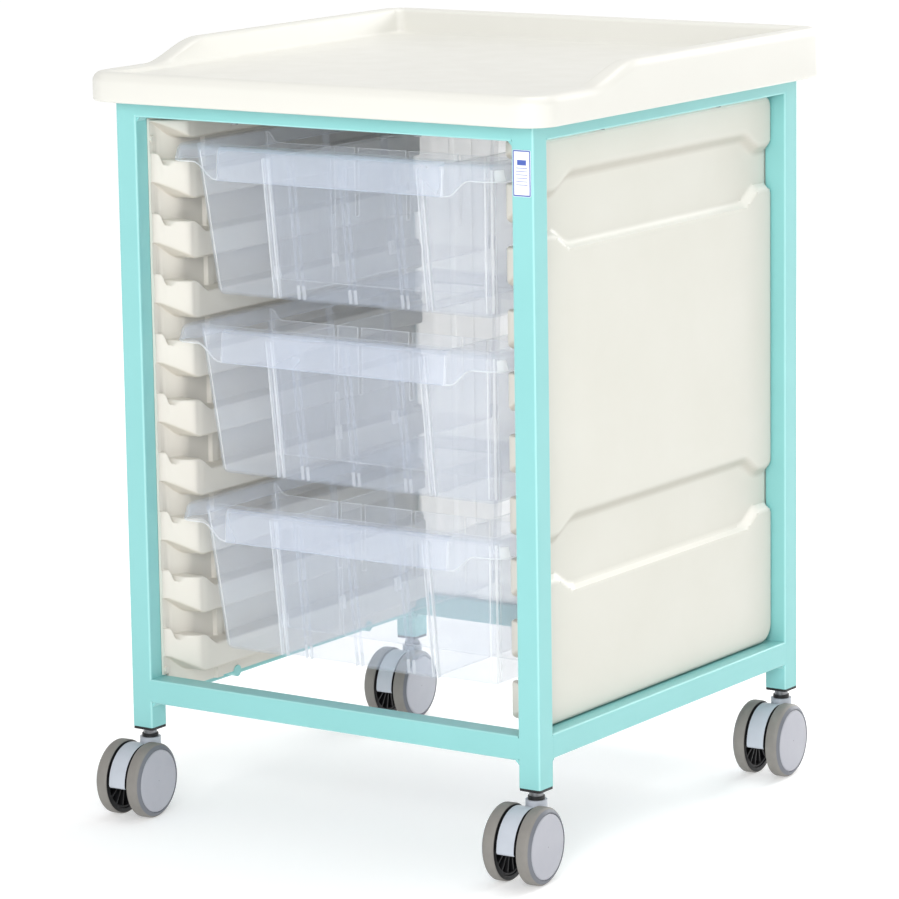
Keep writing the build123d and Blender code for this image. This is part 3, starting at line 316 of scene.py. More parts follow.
def make_materials():
    return {
        "paint": moulded(
            "powder_coat", srgb(139, 202, 201), srgb(135, 198, 197), 0.34, 1500, 0.04 * MM,
            # painted highlight along the tubes' rounded edges
            edges=srgb(163, 217, 216),
        ),
        "cream": moulded(
            "moulded_cream", srgb(211, 210, 201), srgb(208, 207, 197), 0.42, 900, 0.05 * MM,
            # painted shade on the bands' downward slopes, painted highlight on their upward slopes
            below=srgb(186, 183, 172), above=srgb(240, 238, 230),
        ),
        "liner": moulded(
            "moulded_liner", srgb(217, 214, 205), srgb(214, 210, 201), 0.46, 900, 0.05 * MM,
            # painted shade where the liner faces down, under the runners
            below=srgb(204, 198, 186),
        ),
        "worktop": moulded(
            "worktop_gloss", srgb(219, 218, 211), srgb(217, 216, 209), 0.34, 300, 0.01 * MM, 5.0
        ),
        "back": thin_sheet(moulded(
            "back_sheet", srgb(246, 245, 240), srgb(243, 241, 236), 0.5, 800, 0.04 * MM
        )),
        "black": moulded("insert_black", srgb(22, 22, 25), srgb(16, 16, 19), 0.5, 1200, 0.05 * MM, 60.0),
        "housing": moulded(
            "caster_housing", srgb(186, 192, 201), srgb(180, 186, 195), 0.34, 900, 0.04 * MM, 40.0
        ),
        "hub": moulded("caster_hub", srgb(174, 175, 183), srgb(170, 171, 180), 0.4, 900, 0.05 * MM, 50.0),
        "tyre": moulded("caster_tread", srgb(133, 130, 125), srgb(126, 123, 119), 0.6, 700, 0.1 * MM, 70.0),
        # painted shade: a darker, bluer copy of the tread for the tyre's chamfered shoulder
        "shaded_shoulder": moulded(
            "caster_shoulder_painted_shade", srgb(112, 115, 122), srgb(106, 109, 117), 0.5, 700, 0.08 * MM, 70.0
        ),
        "steel": brushed_metal("plated_steel", srgb(138, 139, 142), 0.34),
        "tray": clear_plastic("tray_clear", srgb(228, 237, 253), 0.06, 0.26),
        # painted highlight: a whiter, more opaque sheet for rim edges, corner bands, rib feet and divider
        # edges
        "tray_edge_highlight": clear_plastic("tray_edge_highlight", srgb(250, 252, 255), 0.4, 0.62),
        "tray_handle": clear_plastic("tray_handle", srgb(216, 225, 242), 0.26, 0.5),
        "divider": clear_plastic("divider_clear", srgb(230, 237, 250), 0.06, 0.22),
        "label": moulded("label_film", srgb(240, 242, 247), srgb(232, 235, 243), 0.3, 400, 0.02 * MM, 80.0),
        "label_ink": moulded("label_ink", srgb(74, 98, 178), srgb(66, 88, 168), 0.3, 400, 0.02 * MM, 80.0),
    }


def paint_nodes(material, names):
    """CAD nodes that keep their own shape get this material in every slot."""
    for name in names:
        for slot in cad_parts[name].material_slots:
            slot.material = material


# ---------------------------------------------------------------- mesh helpers

SMOOTH_ANGLE = math.radians(38)


def make_piece(name, points, faces, materials, smooth_angle=SMOOTH_ANGLE):
    """Mesh object from points and faces, smooth but for edges sharper than the angle."""
    mesh = bpy.data.meshes.new(name)
    mesh.from_pydata(points, [], faces)
    mesh.validate()
    for material in materials:
        mesh.materials.append(material)
    mesh.shade_smooth()
    mesh.set_sharp_from_angle(angle=smooth_angle)
    return new_object(name, mesh)


def add_part(points, faces, part_points, part_faces):
    """Adds a part to a growing mesh's points and faces, and gives the numbers of its faces."""
    start = len(points)
    points += part_points
    faces += [tuple(start + i for i in face) for face in part_faces]
    return range(len(faces) - len(part_faces), len(faces))


def set_material(piece, face_numbers, material_index):
    for number in face_numbers:
        piece.data.polygons[number].material_index = material_index


def ring_faces(ring_count, length, capped=False):
    """Quads between closed rings of equal length, with flat caps at both ends where asked."""
    faces = []
    for ring in range(ring_count - 1):
        start, above = ring * length, (ring + 1) * length
        for i in range(length):
            j = (i + 1) % length
            faces.append((start + i, start + j, above + j, above + i))
    if capped:
        faces.append(tuple(reversed(range(length))))
        faces.append(tuple(range((ring_count - 1) * length, ring_count * length)))
    return faces


def mirrored(faces, side):
    """Faces laid out for the right side, turned over for the left so that they look outwards."""
    return faces if side > 0 else [face[::-1] for face in faces]


def even(count):
    """Shares from 0 to just under 1."""
    return [i / count for i in range(count)]


def rounded_outline(half, front, rear, radius, front_shares, side_shares, corner_steps):
    """Points round a rounded rectangle in plan, anticlockwise from the front left."""
    points = []
    left, right = -half + radius, half - radius
    near, far = front + radius, rear - radius
    sides = (
        ((left, front), (right, front), front_shares, (right, near), -90),
        ((half, near), (half, far), side_shares, (right, far), 0),
        ((right, rear), (left, rear), front_shares, (left, far), 90),
        ((-half, far), (-half, near), side_shares, (left, near), 180),
    )
    for start, stop, shares, centre, turn in sides:
        for share in shares:
            points.append(tuple(a + (b - a) * share for a, b in zip(start, stop)))
        points.append(stop)
        for step in range(1, corner_steps):
            angle = math.radians(turn + 90 * step / corner_steps)
            points.append((centre[0] + radius * math.cos(angle), centre[1] + radius * math.sin(angle)))
    return points


def smooth_step(low, high, value):
    share = min(max((value - low) / (high - low), 0), 1)
    return share * share * (3 - 2 * share)


def arc(start, stop, steps):
    """Angles in radians from start to stop degrees, both included."""
    return [math.radians(start + (stop - start) * i / steps) for i in range(steps + 1)]


# ---------------------------------------------------------------- worktop

LIP_WIDTH = 33 * MM
FRONT_RIM = 23 * MM
TOP_CORNER = 32 * MM
DECK_DROP = 26 * MM
FRONT_DROP = 21 * MM
SKIRT_WALL = 6 * MM
RAMP_FOOT = -180 * MM
RAMP_HEAD = -94 * MM
EDGE_ROUND = 10 * MM
SKIRT_ROUND = 3 * MM
LIP_FLAT_SIDE = 15 * MM
LIP_FLAT_FRONT = 12.5 * MM
LIP_ROUND = 7 * MM
LIP_TURN = 65
DECK_FILLET = 6 * MM
FRAME_TOP_DROP = 42 * MM


def worktop_profile(top, bottom):
    """Rings from the underside, round the skirt and over the lip to the deck: inset at
    the sides, inset at the front, height at the low front, height at the raised lip."""
    deck = top - DECK_DROP
    low_top = top - FRONT_DROP
    underside = top - FRAME_TOP_DROP
    rings = [(SKIRT_WALL, SKIRT_WALL, underside, underside)]
    rings.append((SKIRT_WALL, SKIRT_WALL, bottom + 1 * MM, bottom + 1 * MM))
    rings.append((SKIRT_WALL - 1 * MM, SKIRT_WALL - 1 * MM, bottom, bottom))
    for angle in arc(-90, 0, 5):
        inset = SKIRT_ROUND * (1 - math.cos(angle))
        height = bottom + SKIRT_ROUND * (1 + math.sin(angle))
        rings.append((inset, inset, height, height))
    for angle in arc(0, 90, 10):
        inset = EDGE_ROUND * (1 - math.cos(angle))
        fall = EDGE_ROUND * (1 - math.sin(angle))
        rings.append((inset, inset, low_top - fall, top - fall))
    # across the lip top, very slightly crowned, then down its inner side
    inner_side, inner_front = LIP_WIDTH - DECK_FILLET, FRONT_RIM - DECK_FILLET
    rings.append((LIP_FLAT_SIDE, LIP_FLAT_FRONT, low_top - 0.1 * MM, top))
    for angle in arc(90, 90 - LIP_TURN, 7):
        share = (90 - math.degrees(angle)) / LIP_TURN
        rings.append((
            inner_side - LIP_ROUND + LIP_ROUND * math.cos(angle) - 1.5 * MM,
            LIP_FLAT_FRONT + (inner_front + 1 * MM - LIP_FLAT_FRONT) * share,
            low_top - 1.6 * MM * (1 - math.sin(angle)),
            top - LIP_ROUND * (1 - math.sin(angle)),
        ))
    for angle in arc(-90 - LIP_TURN, -90, 7):
        share = (math.degrees(angle) + 90 + LIP_TURN) / LIP_TURN
        side_inset = LIP_WIDTH + DECK_FILLET * math.cos(angle) + 0.2 * MM
        rings.append((
            side_inset,
            inner_front + 1 * MM + (FRONT_RIM - inner_front) * share,
            deck + (low_top - 1 * MM - deck) * (1 - smooth_step(0, 1, share)),
            deck + DECK_FILLET * (1 + math.sin(angle)),
        ))
    return rings


def add_worktop(material):
    low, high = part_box("worktop")
    half = high.x
    points = []
    shares = even(100)
    rings = worktop_profile(high.z, low.z)
    for side_inset, front_inset, low_height, lip_height in rings:
        radius = max(TOP_CORNER - side_inset, 8 * MM)
        plan = rounded_outline(
            half - side_inset, low.y + front_inset, high.y - side_inset, radius, shares, shares, 14
        )
        for x, y in plan:
            lift = smooth_step(RAMP_FOOT, RAMP_HEAD, y)
            points.append((x, y, low_height + (lip_height - low_height) * lift))
    length = len(plan)
    faces = ring_faces(len(rings), length, capped=True)
    piece = make_piece("worktop_moulding", points, faces, [material])
    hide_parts("worktop")
    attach(piece, "cabinet")


# ---------------------------------------------------------------- outer side panels

BAND_DEPTH = 7.5 * MM
BAND_TALL = 38.5 * MM
BAND_LOW = 22.5 * MM
BAND_RISES = (503.5 * MM, 166.5 * MM)
BAND_FRONT = -155 * MM
BAND_REAR = 165 * MM
BAND_TURN = 36 * MM
BAND_UPPER_SIDE = 11 * MM
BAND_LOWER_SIDE = 5 * MM
MOUTH_ROUND = 10 * MM
PANEL_ROUND = 4 * MM
PANEL_GRID = 3.4 * MM
CORNER_BOTTOM = 20 * MM
CORNER_TOP = 12 * MM


def grid_lines(low, high):
    """Evenly spaced lines with a few closer ones near each edge for the rounded edge."""
    near = [0, 0.4 * MM, 1.1 * MM, 2.2 * MM, 3.6 * MM]
    inner_low, inner_high = low + 5.5 * MM, high - 5.5 * MM
    count = round((inner_high - inner_low) / PANEL_GRID)
    middle = [inner_low + (inner_high - inner_low) * i / count for i in range(count + 1)]
    return [low + d for d in near] + middle + [high - d for d in reversed(near)]


def clamp_to_outline(y, z, low, high):
    """Point moved onto the rounded outline where it lies outside a corner, and its distance in."""
    radius = CORNER_BOTTOM if z < (low.z + high.z) / 2 else CORNER_TOP
    centre_y = min(max(y, low.y + radius), high.y - radius)
    centre_z = min(max(z, low.z + radius), high.z - radius)
    dy, dz = y - centre_y, z - centre_z
    away = math.hypot(dy, dz)
    if dy and dz:
        # squeeze the corner's square onto its quarter circle
        square = max(abs(dy), abs(dz))
        scale = square / away
        return centre_y + dy * scale, centre_z + dz * scale, radius - square
    inward = min(y - low.y, high.y - y, z - low.z, high.z - z)
    return y, z, inward


def band_sink(y, z, low, high):
    """How far the outer panel is sunk at a point, from 0 to 1."""
    sink = 0
    edge = min(y - low.y, high.y - y)
    for rise in BAND_RISES:
        wide = smooth_step(BAND_FRONT - BAND_TURN, BAND_FRONT, y)
        wide *= 1 - smooth_step(BAND_REAR, BAND_REAR + BAND_TURN, y)
        half_height = BAND_LOW + (BAND_TALL - BAND_LOW) * wide
        if edge < MOUTH_ROUND:
            half_height += MOUTH_ROUND - math.sqrt(MOUTH_ROUND ** 2 - (MOUTH_ROUND - edge) ** 2)
        above = z - low.z - rise
        slope = BAND_UPPER_SIDE if above > 0 else BAND_LOWER_SIDE
        sink = max(sink, smooth_step(-1 * MM, slope, half_height - abs(above)))
    return sink


def add_side_panel(side_name, material):
    """Outer panel: a fine grid pushed in at the bands and rounded over at its edge."""
    side = SIDES[side_name]
    node = f"{side_name}_side_panel"
    low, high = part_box(node)
    face = max(abs(low.x), abs(high.x))
    back = min(abs(low.x), abs(high.x))
    ys, zs = grid_lines(low.y, high.y), grid_lines(low.z, high.z)
    points = []
    for z in zs:
        for y in ys:
            py, pz, inward = clamp_to_outline(y, z, low, high)
            x = face - BAND_DEPTH * band_sink(py, pz, low, high)
            if inward < PANEL_ROUND:
                turn = PANEL_ROUND - max(inward, 0)
                x -= min(PANEL_ROUND - math.sqrt(PANEL_ROUND ** 2 - turn ** 2), x - back - 0.4 * MM)
            points.append((side * x, py, pz))
    width, height = len(ys), len(zs)
    faces = []
    for row in range(height - 1):
        for column in range(width - 1):
            a = row * width + column
            faces.append((a, a + 1, a + width + 1, a + width))
    # edge turned back to the liner
    rim = list(range(width))
    rim += [row * width + width - 1 for row in range(1, height)]
    rim += [(height - 1) * width + column for column in range(width - 2, -1, -1)]
    rim += [row * width for row in range(height - 2, 0, -1)]
    start = len(points)
    for index in rim:
        points.append((side * back, points[index][1], points[index][2]))
    for i in range(len(rim)):
        j = (i + 1) % len(rim)
        faces.append((rim[j], rim[i], start + i, start + j))
    faces.append(tuple(reversed(range(start, start + len(rim)))))
    piece = make_piece(f"{side_name}_side_panel_skin", points, mirrored(faces, side), [material])
    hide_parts(node)
    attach(piece, "cabinet")


# ---------------------------------------------------------------- side liners

RUNNER_COUNT = 9
RUNNER_PITCH = 61.26 * MM
TOP_LEDGE_RISE = 535.1 * MM
RUNNER_DEPTH = 26.5 * MM
LINER_WALL = 213 * MM
LINER_FLANGE = 222 * MM
LINER_END = 232 * MM
NOTCH_RISE = 17 * MM
NOTCH_FROM = 223.5 * MM
INNER_ROUND = 1.6 * MM
NOSE_ROUND = 2.6 * MM
BAR_FRONT = -158 * MM
BAR_REAR = -146 * MM
BAR_PROUD = 3.5 * MM
RUNNER_END = 205 * MM


def ease(value, keys):
    """Smooth value through (place, height) keys."""
    for (a, first), (b, second) in zip(keys, keys[1:]):
        if value <= b:
            return first + (second - first) * smooth_step(a, b, value)
    return keys[-1][1]


# Places along the liner and, at each, the runner's top, its foot and its face, and the wall.
RUNNER_TOP = (
    (-LINER_END, 20.5 * MM), (-225.5 * MM, 20.5 * MM), (-222 * MM, 9.3 * MM), (-219.5 * MM, 8.6 * MM),
    (-216.5 * MM, 12.9 * MM), (-203 * MM, 12.9 * MM), (-179 * MM, 0), (RUNNER_END, 0),
)
RUNNER_FOOT = ((-LINER_END, -8.7 * MM), (-199 * MM, -RUNNER_DEPTH), (RUNNER_END, -RUNNER_DEPTH))
RUNNER_PLAN = (
    (-LINER_END, 221 * MM), (-206 * MM, 191 * MM), (-196 * MM, 190 * MM),
    (RUNNER_END - 6 * MM, 190 * MM), (RUNNER_END, 196 * MM), (RUNNER_END + 5 * MM, LINER_WALL),
)
WALL_PLAN = (
    (-LINER_END, LINER_FLANGE), (-224.4 * MM, LINER_FLANGE), (-190 * MM, LINER_WALL),
    (190 * MM, LINER_WALL), (224.4 * MM, LINER_FLANGE), (LINER_END, LINER_FLANGE),
)


def wall_place(y):
    """Half width of the liner's inner wall, with the shallow upright bar."""
    bar = smooth_step(BAR_FRONT - 1.5 * MM, BAR_FRONT + 1.5 * MM, y)
    bar *= 1 - smooth_step(BAR_REAR - 1.5 * MM, BAR_REAR + 1.5 * MM, y)
    return ease(y, WALL_PLAN) - BAR_PROUD * bar


def round_to(centre_x, centre_z, radius, angles):
    """Points of a rounded corner about its centre."""
    return [(centre_x + radius * math.cos(a), centre_z + radius * math.sin(a)) for a in angles]


def runner_section(y, ledge, roof):
    """One runner seen end on, from below it to above it: (half width, height) pairs."""
    wall, face = wall_place(y), min(ease(y, RUNNER_PLAN), wall_place(y) - 0.2 * MM)
    foot = min(ledge + ease(y, RUNNER_FOOT), roof)
    top = min(ledge + ease(y, RUNNER_TOP), roof)
    outer = min(NOSE_ROUND, (wall - face) * 0.45, (top - foot) * 0.45)
    inner = min(INNER_ROUND, (wall - face) * 0.45)
    section = [(wall, foot - inner)]
    section += round_to(wall - inner, foot - inner, inner, arc(30, 90, 2))
    section += round_to(face + outer, foot + outer, outer, arc(-90, -180, 4))
    section += round_to(face + outer, top - outer, outer, arc(180, 90, 4))
    section += round_to(wall - inner, top + inner, inner, arc(-90, -30, 2))
    section.append((wall, top + inner))
    return section


def liner_columns():
    """Places along the liner, closer together where its front and rear ends curve."""
    places = [-LINER_END, -231.2 * MM, -230 * MM, -174 * MM, -168 * MM]
    places += [(-228.5 + 0.75 * i) * MM for i in range(20)]
    places += [(-213.5 + 1.5 * i) * MM for i in range(26)]
    places += [(-160.5 + 1.0 * i) * MM for i in range(18)]
    places += [(-140 + 12 * i) * MM for i in range(27)]
    places += [(189 + 2 * i) * MM for i in range(22)]
    return sorted(place for place in places if place <= LINER_END) + [LINER_END]


def add_side_liner(side_name, material):
    """Inner liner: the runner sections carried along the side, closed to a sheet behind."""
    side = SIDES[side_name]
    node = f"{side_name}_side_liner"
    low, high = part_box(node)
    back = max(abs(low.x), abs(high.x))
    top_ledge = low.z + TOP_LEDGE_RISE
    roof = high.z - 2 * MM
    columns = liner_columns()
    points, height_count = [], 0
    for y in columns:
        notch = low.z + (NOTCH_RISE if abs(y) > NOTCH_FROM else 0)
        column = [(wall_place(y), notch)]
        for number in range(RUNNER_COUNT - 1, -2, -1):
            column += runner_section(y, top_ledge - RUNNER_PITCH * number, roof)
        column = [(x, min(max(z, notch), high.z)) for x, z in column]
        column.append((wall_place(y), high.z))
        # the flat back of the sheet, beside each point
        points += [(side * x, y, z) for x, z in column]
        points += [(side * back, y, z) for x, z in column]
        height_count = len(column)
    stride, last = 2 * height_count, height_count - 1
    faces = []
    for c in range(len(columns) - 1):
        here, there = c * stride, (c + 1) * stride
        here_back, there_back = here + height_count, there + height_count
        for i in range(last):
            faces.append((here + i, here + i + 1, there + i + 1, there + i))
            faces.append((here_back + i, there_back + i, there_back + i + 1, here_back + i + 1))
        faces.append((here, there, there_back, here_back))
        faces.append((here + last, here_back + last, there_back + last, there + last))
    for base, turn in ((0, 1), ((len(columns) - 1) * stride, -1)):
        for i in range(last):
            a, b = base + i, base + height_count + i
            faces.append((a, b, b + 1, a + 1)[::turn])
    piece = make_piece(
        f"{side_name}_side_liner_moulding", points, mirrored(faces, side), [material]
    )
    clean_up(piece)
    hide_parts(node)
    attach(piece, "cabinet")


def clean_up(piece):
    """Joins points that lie together and drops the faces that leaves without area."""
    work = bmesh.new()
    work.from_mesh(piece.data)
    bmesh.ops.remove_doubles(work, verts=work.verts, dist=0.01 * MM)
    bmesh.ops.dissolve_degenerate(work, edges=work.edges, dist=0.01 * MM)
    bmesh.ops.recalc_face_normals(work, faces=work.faces)
    work.to_mesh(piece.data)
    work.free()
    piece.data.shade_smooth()
    piece.data.set_sharp_from_angle(angle=SMOOTH_ANGLE)


# ---------------------------------------------------------------- trays

TRAY_WALL = 2.5 * MM
TRAY_DEPTH = 155.5 * MM
RIM_HALF = 196 * MM
RIM_FRONT = -232 * MM
RIM_REAR = 222 * MM
RIM_CORNER = 17 * MM
APRON_DEPTH = 17 * MM
SIDE_APRON_DEPTH = 19.3 * MM
HANDLE_HALF = 136 * MM
HANDLE_DEPTH = 33.5 * MM
HANDLE_PROUD = 2.5 * MM
SWEEP = (140 * MM, 166 * MM)
SECTION_TOP = (179.2 * MM, -215.7 * MM, 206 * MM)
SECTION_FLOOR = (168 * MM, -198.4 * MM, 194 * MM)
TRAY_CORNER = 8 * MM
CORNER_STEPS = 10
# Angles round each front corner, in degrees, of the bands that get a painted highlight.
CORNER_HIGHLIGHT_BANDS = ((0, 7), (47, 66), (83, 90))
FLOOR_ROUND = 7 * MM
RIM_ROUND = 7 * MM
APRON_FLARE = 2.6 * MM
RIM_ABOVE_LEDGE = 32.4 * MM
LUG = (166 * MM, 202 * MM)


def tray_shares():
    """Shares along the front and rear, closer together at the handle's ends and sweeps."""
    straight = RIM_HALF - RIM_CORNER
    marks = []
    for place in (-1, 1):
        for offset in (-1.2, -0.6, 0, 0.6, 1.2):
            marks.append(place * (HANDLE_HALF + offset * MM))
        marks += [place * (SWEEP[0] + (SWEEP[1] - SWEEP[0]) * i / 10) for i in range(11)]
    marks += [-straight + 2 * straight * i / 36 for i in range(36)]
    return sorted({round((mark + straight) / (2 * straight), 5) for mark in marks if mark < straight})


def apron_fall(x, y):
    """Depth of the apron's lower edge below the rim at a point of the rim outline."""
    if y < RIM_FRONT + RIM_CORNER + 1 * MM:
        return HANDLE_DEPTH + (APRON_DEPTH - HANDLE_DEPTH) * smooth_step(*SWEEP, abs(x))
    if y > RIM_REAR - RIM_CORNER:
        return APRON_DEPTH
    deeper = smooth_step(RIM_FRONT + 23 * MM, RIM_FRONT + 40 * MM, y)
    return APRON_DEPTH + (SIDE_APRON_DEPTH - APRON_DEPTH) * deeper


def tray_section(share, inset):
    half, front, rear = (a + (b - a) * share for a, b in zip(SECTION_FLOOR, SECTION_TOP))
    return half - inset, front + inset, rear - inset


def rim_ring(inset, height_of, flare=0.0):
    """Ring that follows the rim outline, its front pushed out along the handle."""
    inset -= flare
    plan = rounded_outline(
        RIM_HALF - inset, RIM_FRONT + inset, RIM_REAR - inset, RIM_CORNER - inset,
        tray_shares(), even(48), CORNER_STEPS,
    )
    ring = []
    for x, y in plan:
        z = height_of(x, y)
        if y < RIM_FRONT + inset + 1 * MM:
            push = 1 - smooth_step(HANDLE_HALF - 1.2 * MM, HANDLE_HALF + 1.2 * MM, abs(x))
            y -= HANDLE_PROUD * push
        ring.append((x, y, z))
    return ring


def wall_ring(share, inset, height, round_in=0.0):
    """Ring that follows the sloping wall at a share of its height, drawn in by round_in."""
    half, front, rear = tray_section(share, inset + round_in)
    radius = max(TRAY_CORNER - inset - round_in, 4 * MM)
    plan = rounded_outline(half, front, rear, radius, tray_shares(), even(48), CORNER_STEPS)
    return [(x, y, height) for x, y in plan]


def tray_rings(rim):
    """All rings of a tray, from the middle of its underside, over the rim, to its floor."""
    floor = rim - TRAY_DEPTH
    rings, edge_rings = [], set()
    # outside: floor edge, wall, underside of the rim
    for angle in arc(-90, 0, 6):
        drop = FLOOR_ROUND * (1 + math.sin(angle))
        rings.append(wall_ring(drop / TRAY_DEPTH, 0, floor + drop, FLOOR_ROUND * (1 - math.cos(angle))))
    for share in (0.25, 0.5, 0.75, 0.95):
        rings.append(wall_ring(share, 0, floor + TRAY_DEPTH * share))
    under = rim - TRAY_WALL
    rings.append(wall_ring(0.975, -0.8 * MM, under - 1 * MM))
    rings.append(wall_ring(0.98, -2.4 * MM, under))
    inner_rim = RIM_ROUND - TRAY_WALL
    for angle in arc(90, 0, 4):
        height = rim - RIM_ROUND + inner_rim * math.sin(angle)
        rings.append(rim_ring(RIM_ROUND - inner_rim * math.cos(angle), lambda x, y: height))
    # apron: inner face down, lower edge, outer face up, rounded rim edge
    edge_rings.add(len(rings))

    def low_edge(x, y):
        return rim - apron_fall(x, y)

    def above_edge(x, y):
        return low_edge(x, y) + 0.9 * MM

    rings.append(rim_ring(TRAY_WALL, above_edge, APRON_FLARE))
    edge_rings.add(len(rings))
    rings.append(rim_ring(TRAY_WALL * 0.6, low_edge, APRON_FLARE))
    edge_rings.add(len(rings))
    rings.append(rim_ring(TRAY_WALL * 0.3, low_edge, APRON_FLARE))
    rings.append(rim_ring(0, above_edge, APRON_FLARE))
    rings.append(rim_ring(0, lambda x, y: low_edge(x, y) + 3 * MM, APRON_FLARE * 0.8))
    for angle in arc(0, 90, 7):
        inset = RIM_ROUND * (1 - math.cos(angle))
        drop = RIM_ROUND * (1 - math.sin(angle))
        rings.append(rim_ring(inset, lambda x, y: rim - drop))
    # top of the rim, rounded into the inside wall, and down to the floor
    edge_rings.add(len(rings))
    for angle in arc(90, 0, 3):
        inset = TRAY_WALL - 1.6 * MM * math.cos(angle)
        rings.append(wall_ring(1, inset, rim - 1.6 * MM * (1 - math.sin(angle))))
    for share in (0.75, 0.5, 0.25):
        rings.append(wall_ring(share, TRAY_WALL, floor + TRAY_DEPTH * share))
    inner_round = FLOOR_ROUND - TRAY_WALL
    for angle in arc(0, -90, 6):
        drop = TRAY_WALL + inner_round * (1 + math.sin(angle))
        rings.append(
            wall_ring(drop / TRAY_DEPTH, TRAY_WALL, floor + drop, inner_round * (1 - math.cos(angle)))
        )
    return rings, edge_rings


GUIDE_PROUD = 3 * MM
GUIDE_THICK = 1.0 * MM
GUIDE_GAP = 5.6 * MM
SIDE_GUIDES = (-97 * MM, 5 * MM, 108 * MM)
FRONT_GUIDES = (-63 * MM, 0, 63 * MM)
DIVIDER_GUIDES = (-93 * MM, 93 * MM)
GUIDE_TOP = 12 * MM
GUIDE_FOOT_SHARE = 0.1
GUIDE_FOOT_FACES = 4


def guide_rib(across, along, low_at, high_at, floor, top):
    """Small upright rib on a sloping wall: a tapered prism, standing off the wall inwards.
    across is the wall's inward direction, along runs beside the wall. Its first four faces
    are its foot, at the floor's round, where the rib gets a painted highlight."""
    points = []
    for share in (0, GUIDE_FOOT_SHARE, 1):
        place = [low + (high - low) * share for low, high in zip(low_at, high_at)]
        for out, shift in ((-0.4, -1), (1, -0.7), (1, 0.7), (-0.4, 1)):
            offset = across * (GUIDE_PROUD * out) + along * (GUIDE_THICK / 2 * shift)
            points.append((place[0] + offset.x, place[1] + offset.y, floor + (top - floor) * share))
    faces = [(0, 1, 5, 4), (1, 2, 6, 5), (2, 3, 7, 6), (3, 2, 1, 0)]
    faces += [(4, 5, 9, 8), (5, 6, 10, 9), (6, 7, 11, 10), (8, 9, 10, 11), (3, 0, 4, 7), (7, 4, 8, 11)]
    return points, faces


def guide_ribs(rim):
    """Pairs of ribs on the side, front and rear walls; the flag marks those beside a divider, which get a
    painted highlight all over.
    """
    floor = rim - TRAY_DEPTH + TRAY_WALL - 0.3 * MM
    top = rim - GUIDE_TOP
    top_share = 1 - GUIDE_TOP / TRAY_DEPTH
    low_half, low_front, low_rear = tray_section(0, TRAY_WALL)
    high_half, high_front, high_rear = tray_section(top_share, TRAY_WALL)
    found = []

    def add(inward, along, low_at, high_at, bright=False):
        rib = guide_rib(Vector(inward), Vector(along), low_at, high_at, floor, top)
        found.append(rib + (bright,))

    for shift in (-1, 1):
        step = shift * (GUIDE_GAP + GUIDE_THICK) / 2
        for y in SIDE_GUIDES:
            for side in SIDES.values():
                add((-side, 0), (0, 1), (side * low_half, y + step), (side * high_half, y + step))
        for x in FRONT_GUIDES + DIVIDER_GUIDES:
            bright = x in DIVIDER_GUIDES
            add((0, 1), (1, 0), (x + step, low_front), (x + step, high_front), bright)
        for x in DIVIDER_GUIDES:
            add((0, -1), (1, 0), (x + step, low_rear), (x + step, high_rear))
    return found


def block(low, high):
    """Corners and faces of a plain block."""
    xs, ys, zs = zip(low, high)
    points = [(x, y, z) for z in zs for y in ys for x in xs]
    faces = [(0, 2, 3, 1), (4, 5, 7, 6), (0, 1, 5, 4), (2, 6, 7, 3), (0, 4, 6, 2), (1, 3, 7, 5)]
    return points, faces


def middle_of(face, points):
    corners = [Vector(points[i]) for i in face]
    return sum(corners, Vector()) / len(corners)


def on_handle(face, points, rim):
    """True for the handle's front and its rounded top, where the plastic is thickest."""
    middle = middle_of(face, points)
    ahead = RIM_FRONT - HANDLE_PROUD * 0.6 + RIM_ROUND * smooth_step(rim - RIM_ROUND, rim, middle.z)
    return abs(middle.x) < HANDLE_HALF and middle.y < ahead and middle.z > rim - HANDLE_DEPTH - 1 * MM


def gets_edge_highlight(face, points, rim):
    """True for the steps at the handle's ends and for bands round the wall's front corners, which get a
    painted highlight.
    """
    middle = middle_of(face, points)
    if middle.y < RIM_FRONT + 0.5 * MM and rim - HANDLE_DEPTH < middle.z < rim - RIM_ROUND / 2:
        return -1.3 * MM < abs(middle.x) - HANDLE_HALF < -0.5 * MM
    share = (middle.z - rim + TRAY_DEPTH) / TRAY_DEPTH
    half, front, rear = tray_section(min(max(share, 0), 1), 0)
    across = abs(middle.x) - half + TRAY_CORNER
    ahead = front + TRAY_CORNER - middle.y
    if across < 0 or ahead < 0 or math.hypot(across, ahead) < TRAY_CORNER - 0.6 * MM or share > 0.96:
        return False
    turn = math.degrees(math.atan2(across, ahead))
    return any(start <= turn <= stop for start, stop in CORNER_HIGHLIGHT_BANDS)


def add_tray(name, materials):
    node = f"{name}_tray"
    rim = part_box(node)[1].z
    rings, edge_rings = tray_rings(rim)
    length = len(rings[0])
    points = [point for ring in rings for point in ring]
    faces = ring_faces(len(rings), length, capped=True)
    edge_faces = {ring * length + i for ring in edge_rings for i in range(length)}
    handle_faces = {index for index in range(len(faces) - 2) if on_handle(faces[index], points, rim)}
    edge_faces -= handle_faces
    edge_faces |= {index for index in range(len(faces) - 2) if gets_edge_highlight(faces[index], points, rim)}
    extras = guide_ribs(rim)
    for side in SIDES.values():
        outer, inner = side * (RIM_HALF - 0.3 * MM), side * (RIM_HALF - 3.8 * MM)
        low = (min(outer, inner), LUG[0], rim - RIM_ABOVE_LEDGE + 0.1 * MM)
        extras.append(block(low, (max(outer, inner), LUG[1], rim - TRAY_WALL)) + (False,))
    for extra_points, extra_faces, bright in extras:
        added = add_part(points, faces, extra_points, extra_faces)
        edge_faces |= set(added if bright else added[:GUIDE_FOOT_FACES])
    piece = make_piece(f"{name}_tray_shell", points, faces, materials, math.radians(50))
    set_material(piece, handle_faces, 2)
    # painted highlight on the rim edges, handle steps, corner bands and rib feet
    set_material(piece, edge_faces, 1)
    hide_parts(node)
    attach(piece, f"{name}_tray_unit")


# ---------------------------------------------------------------- dividers and copies of CAD shapes


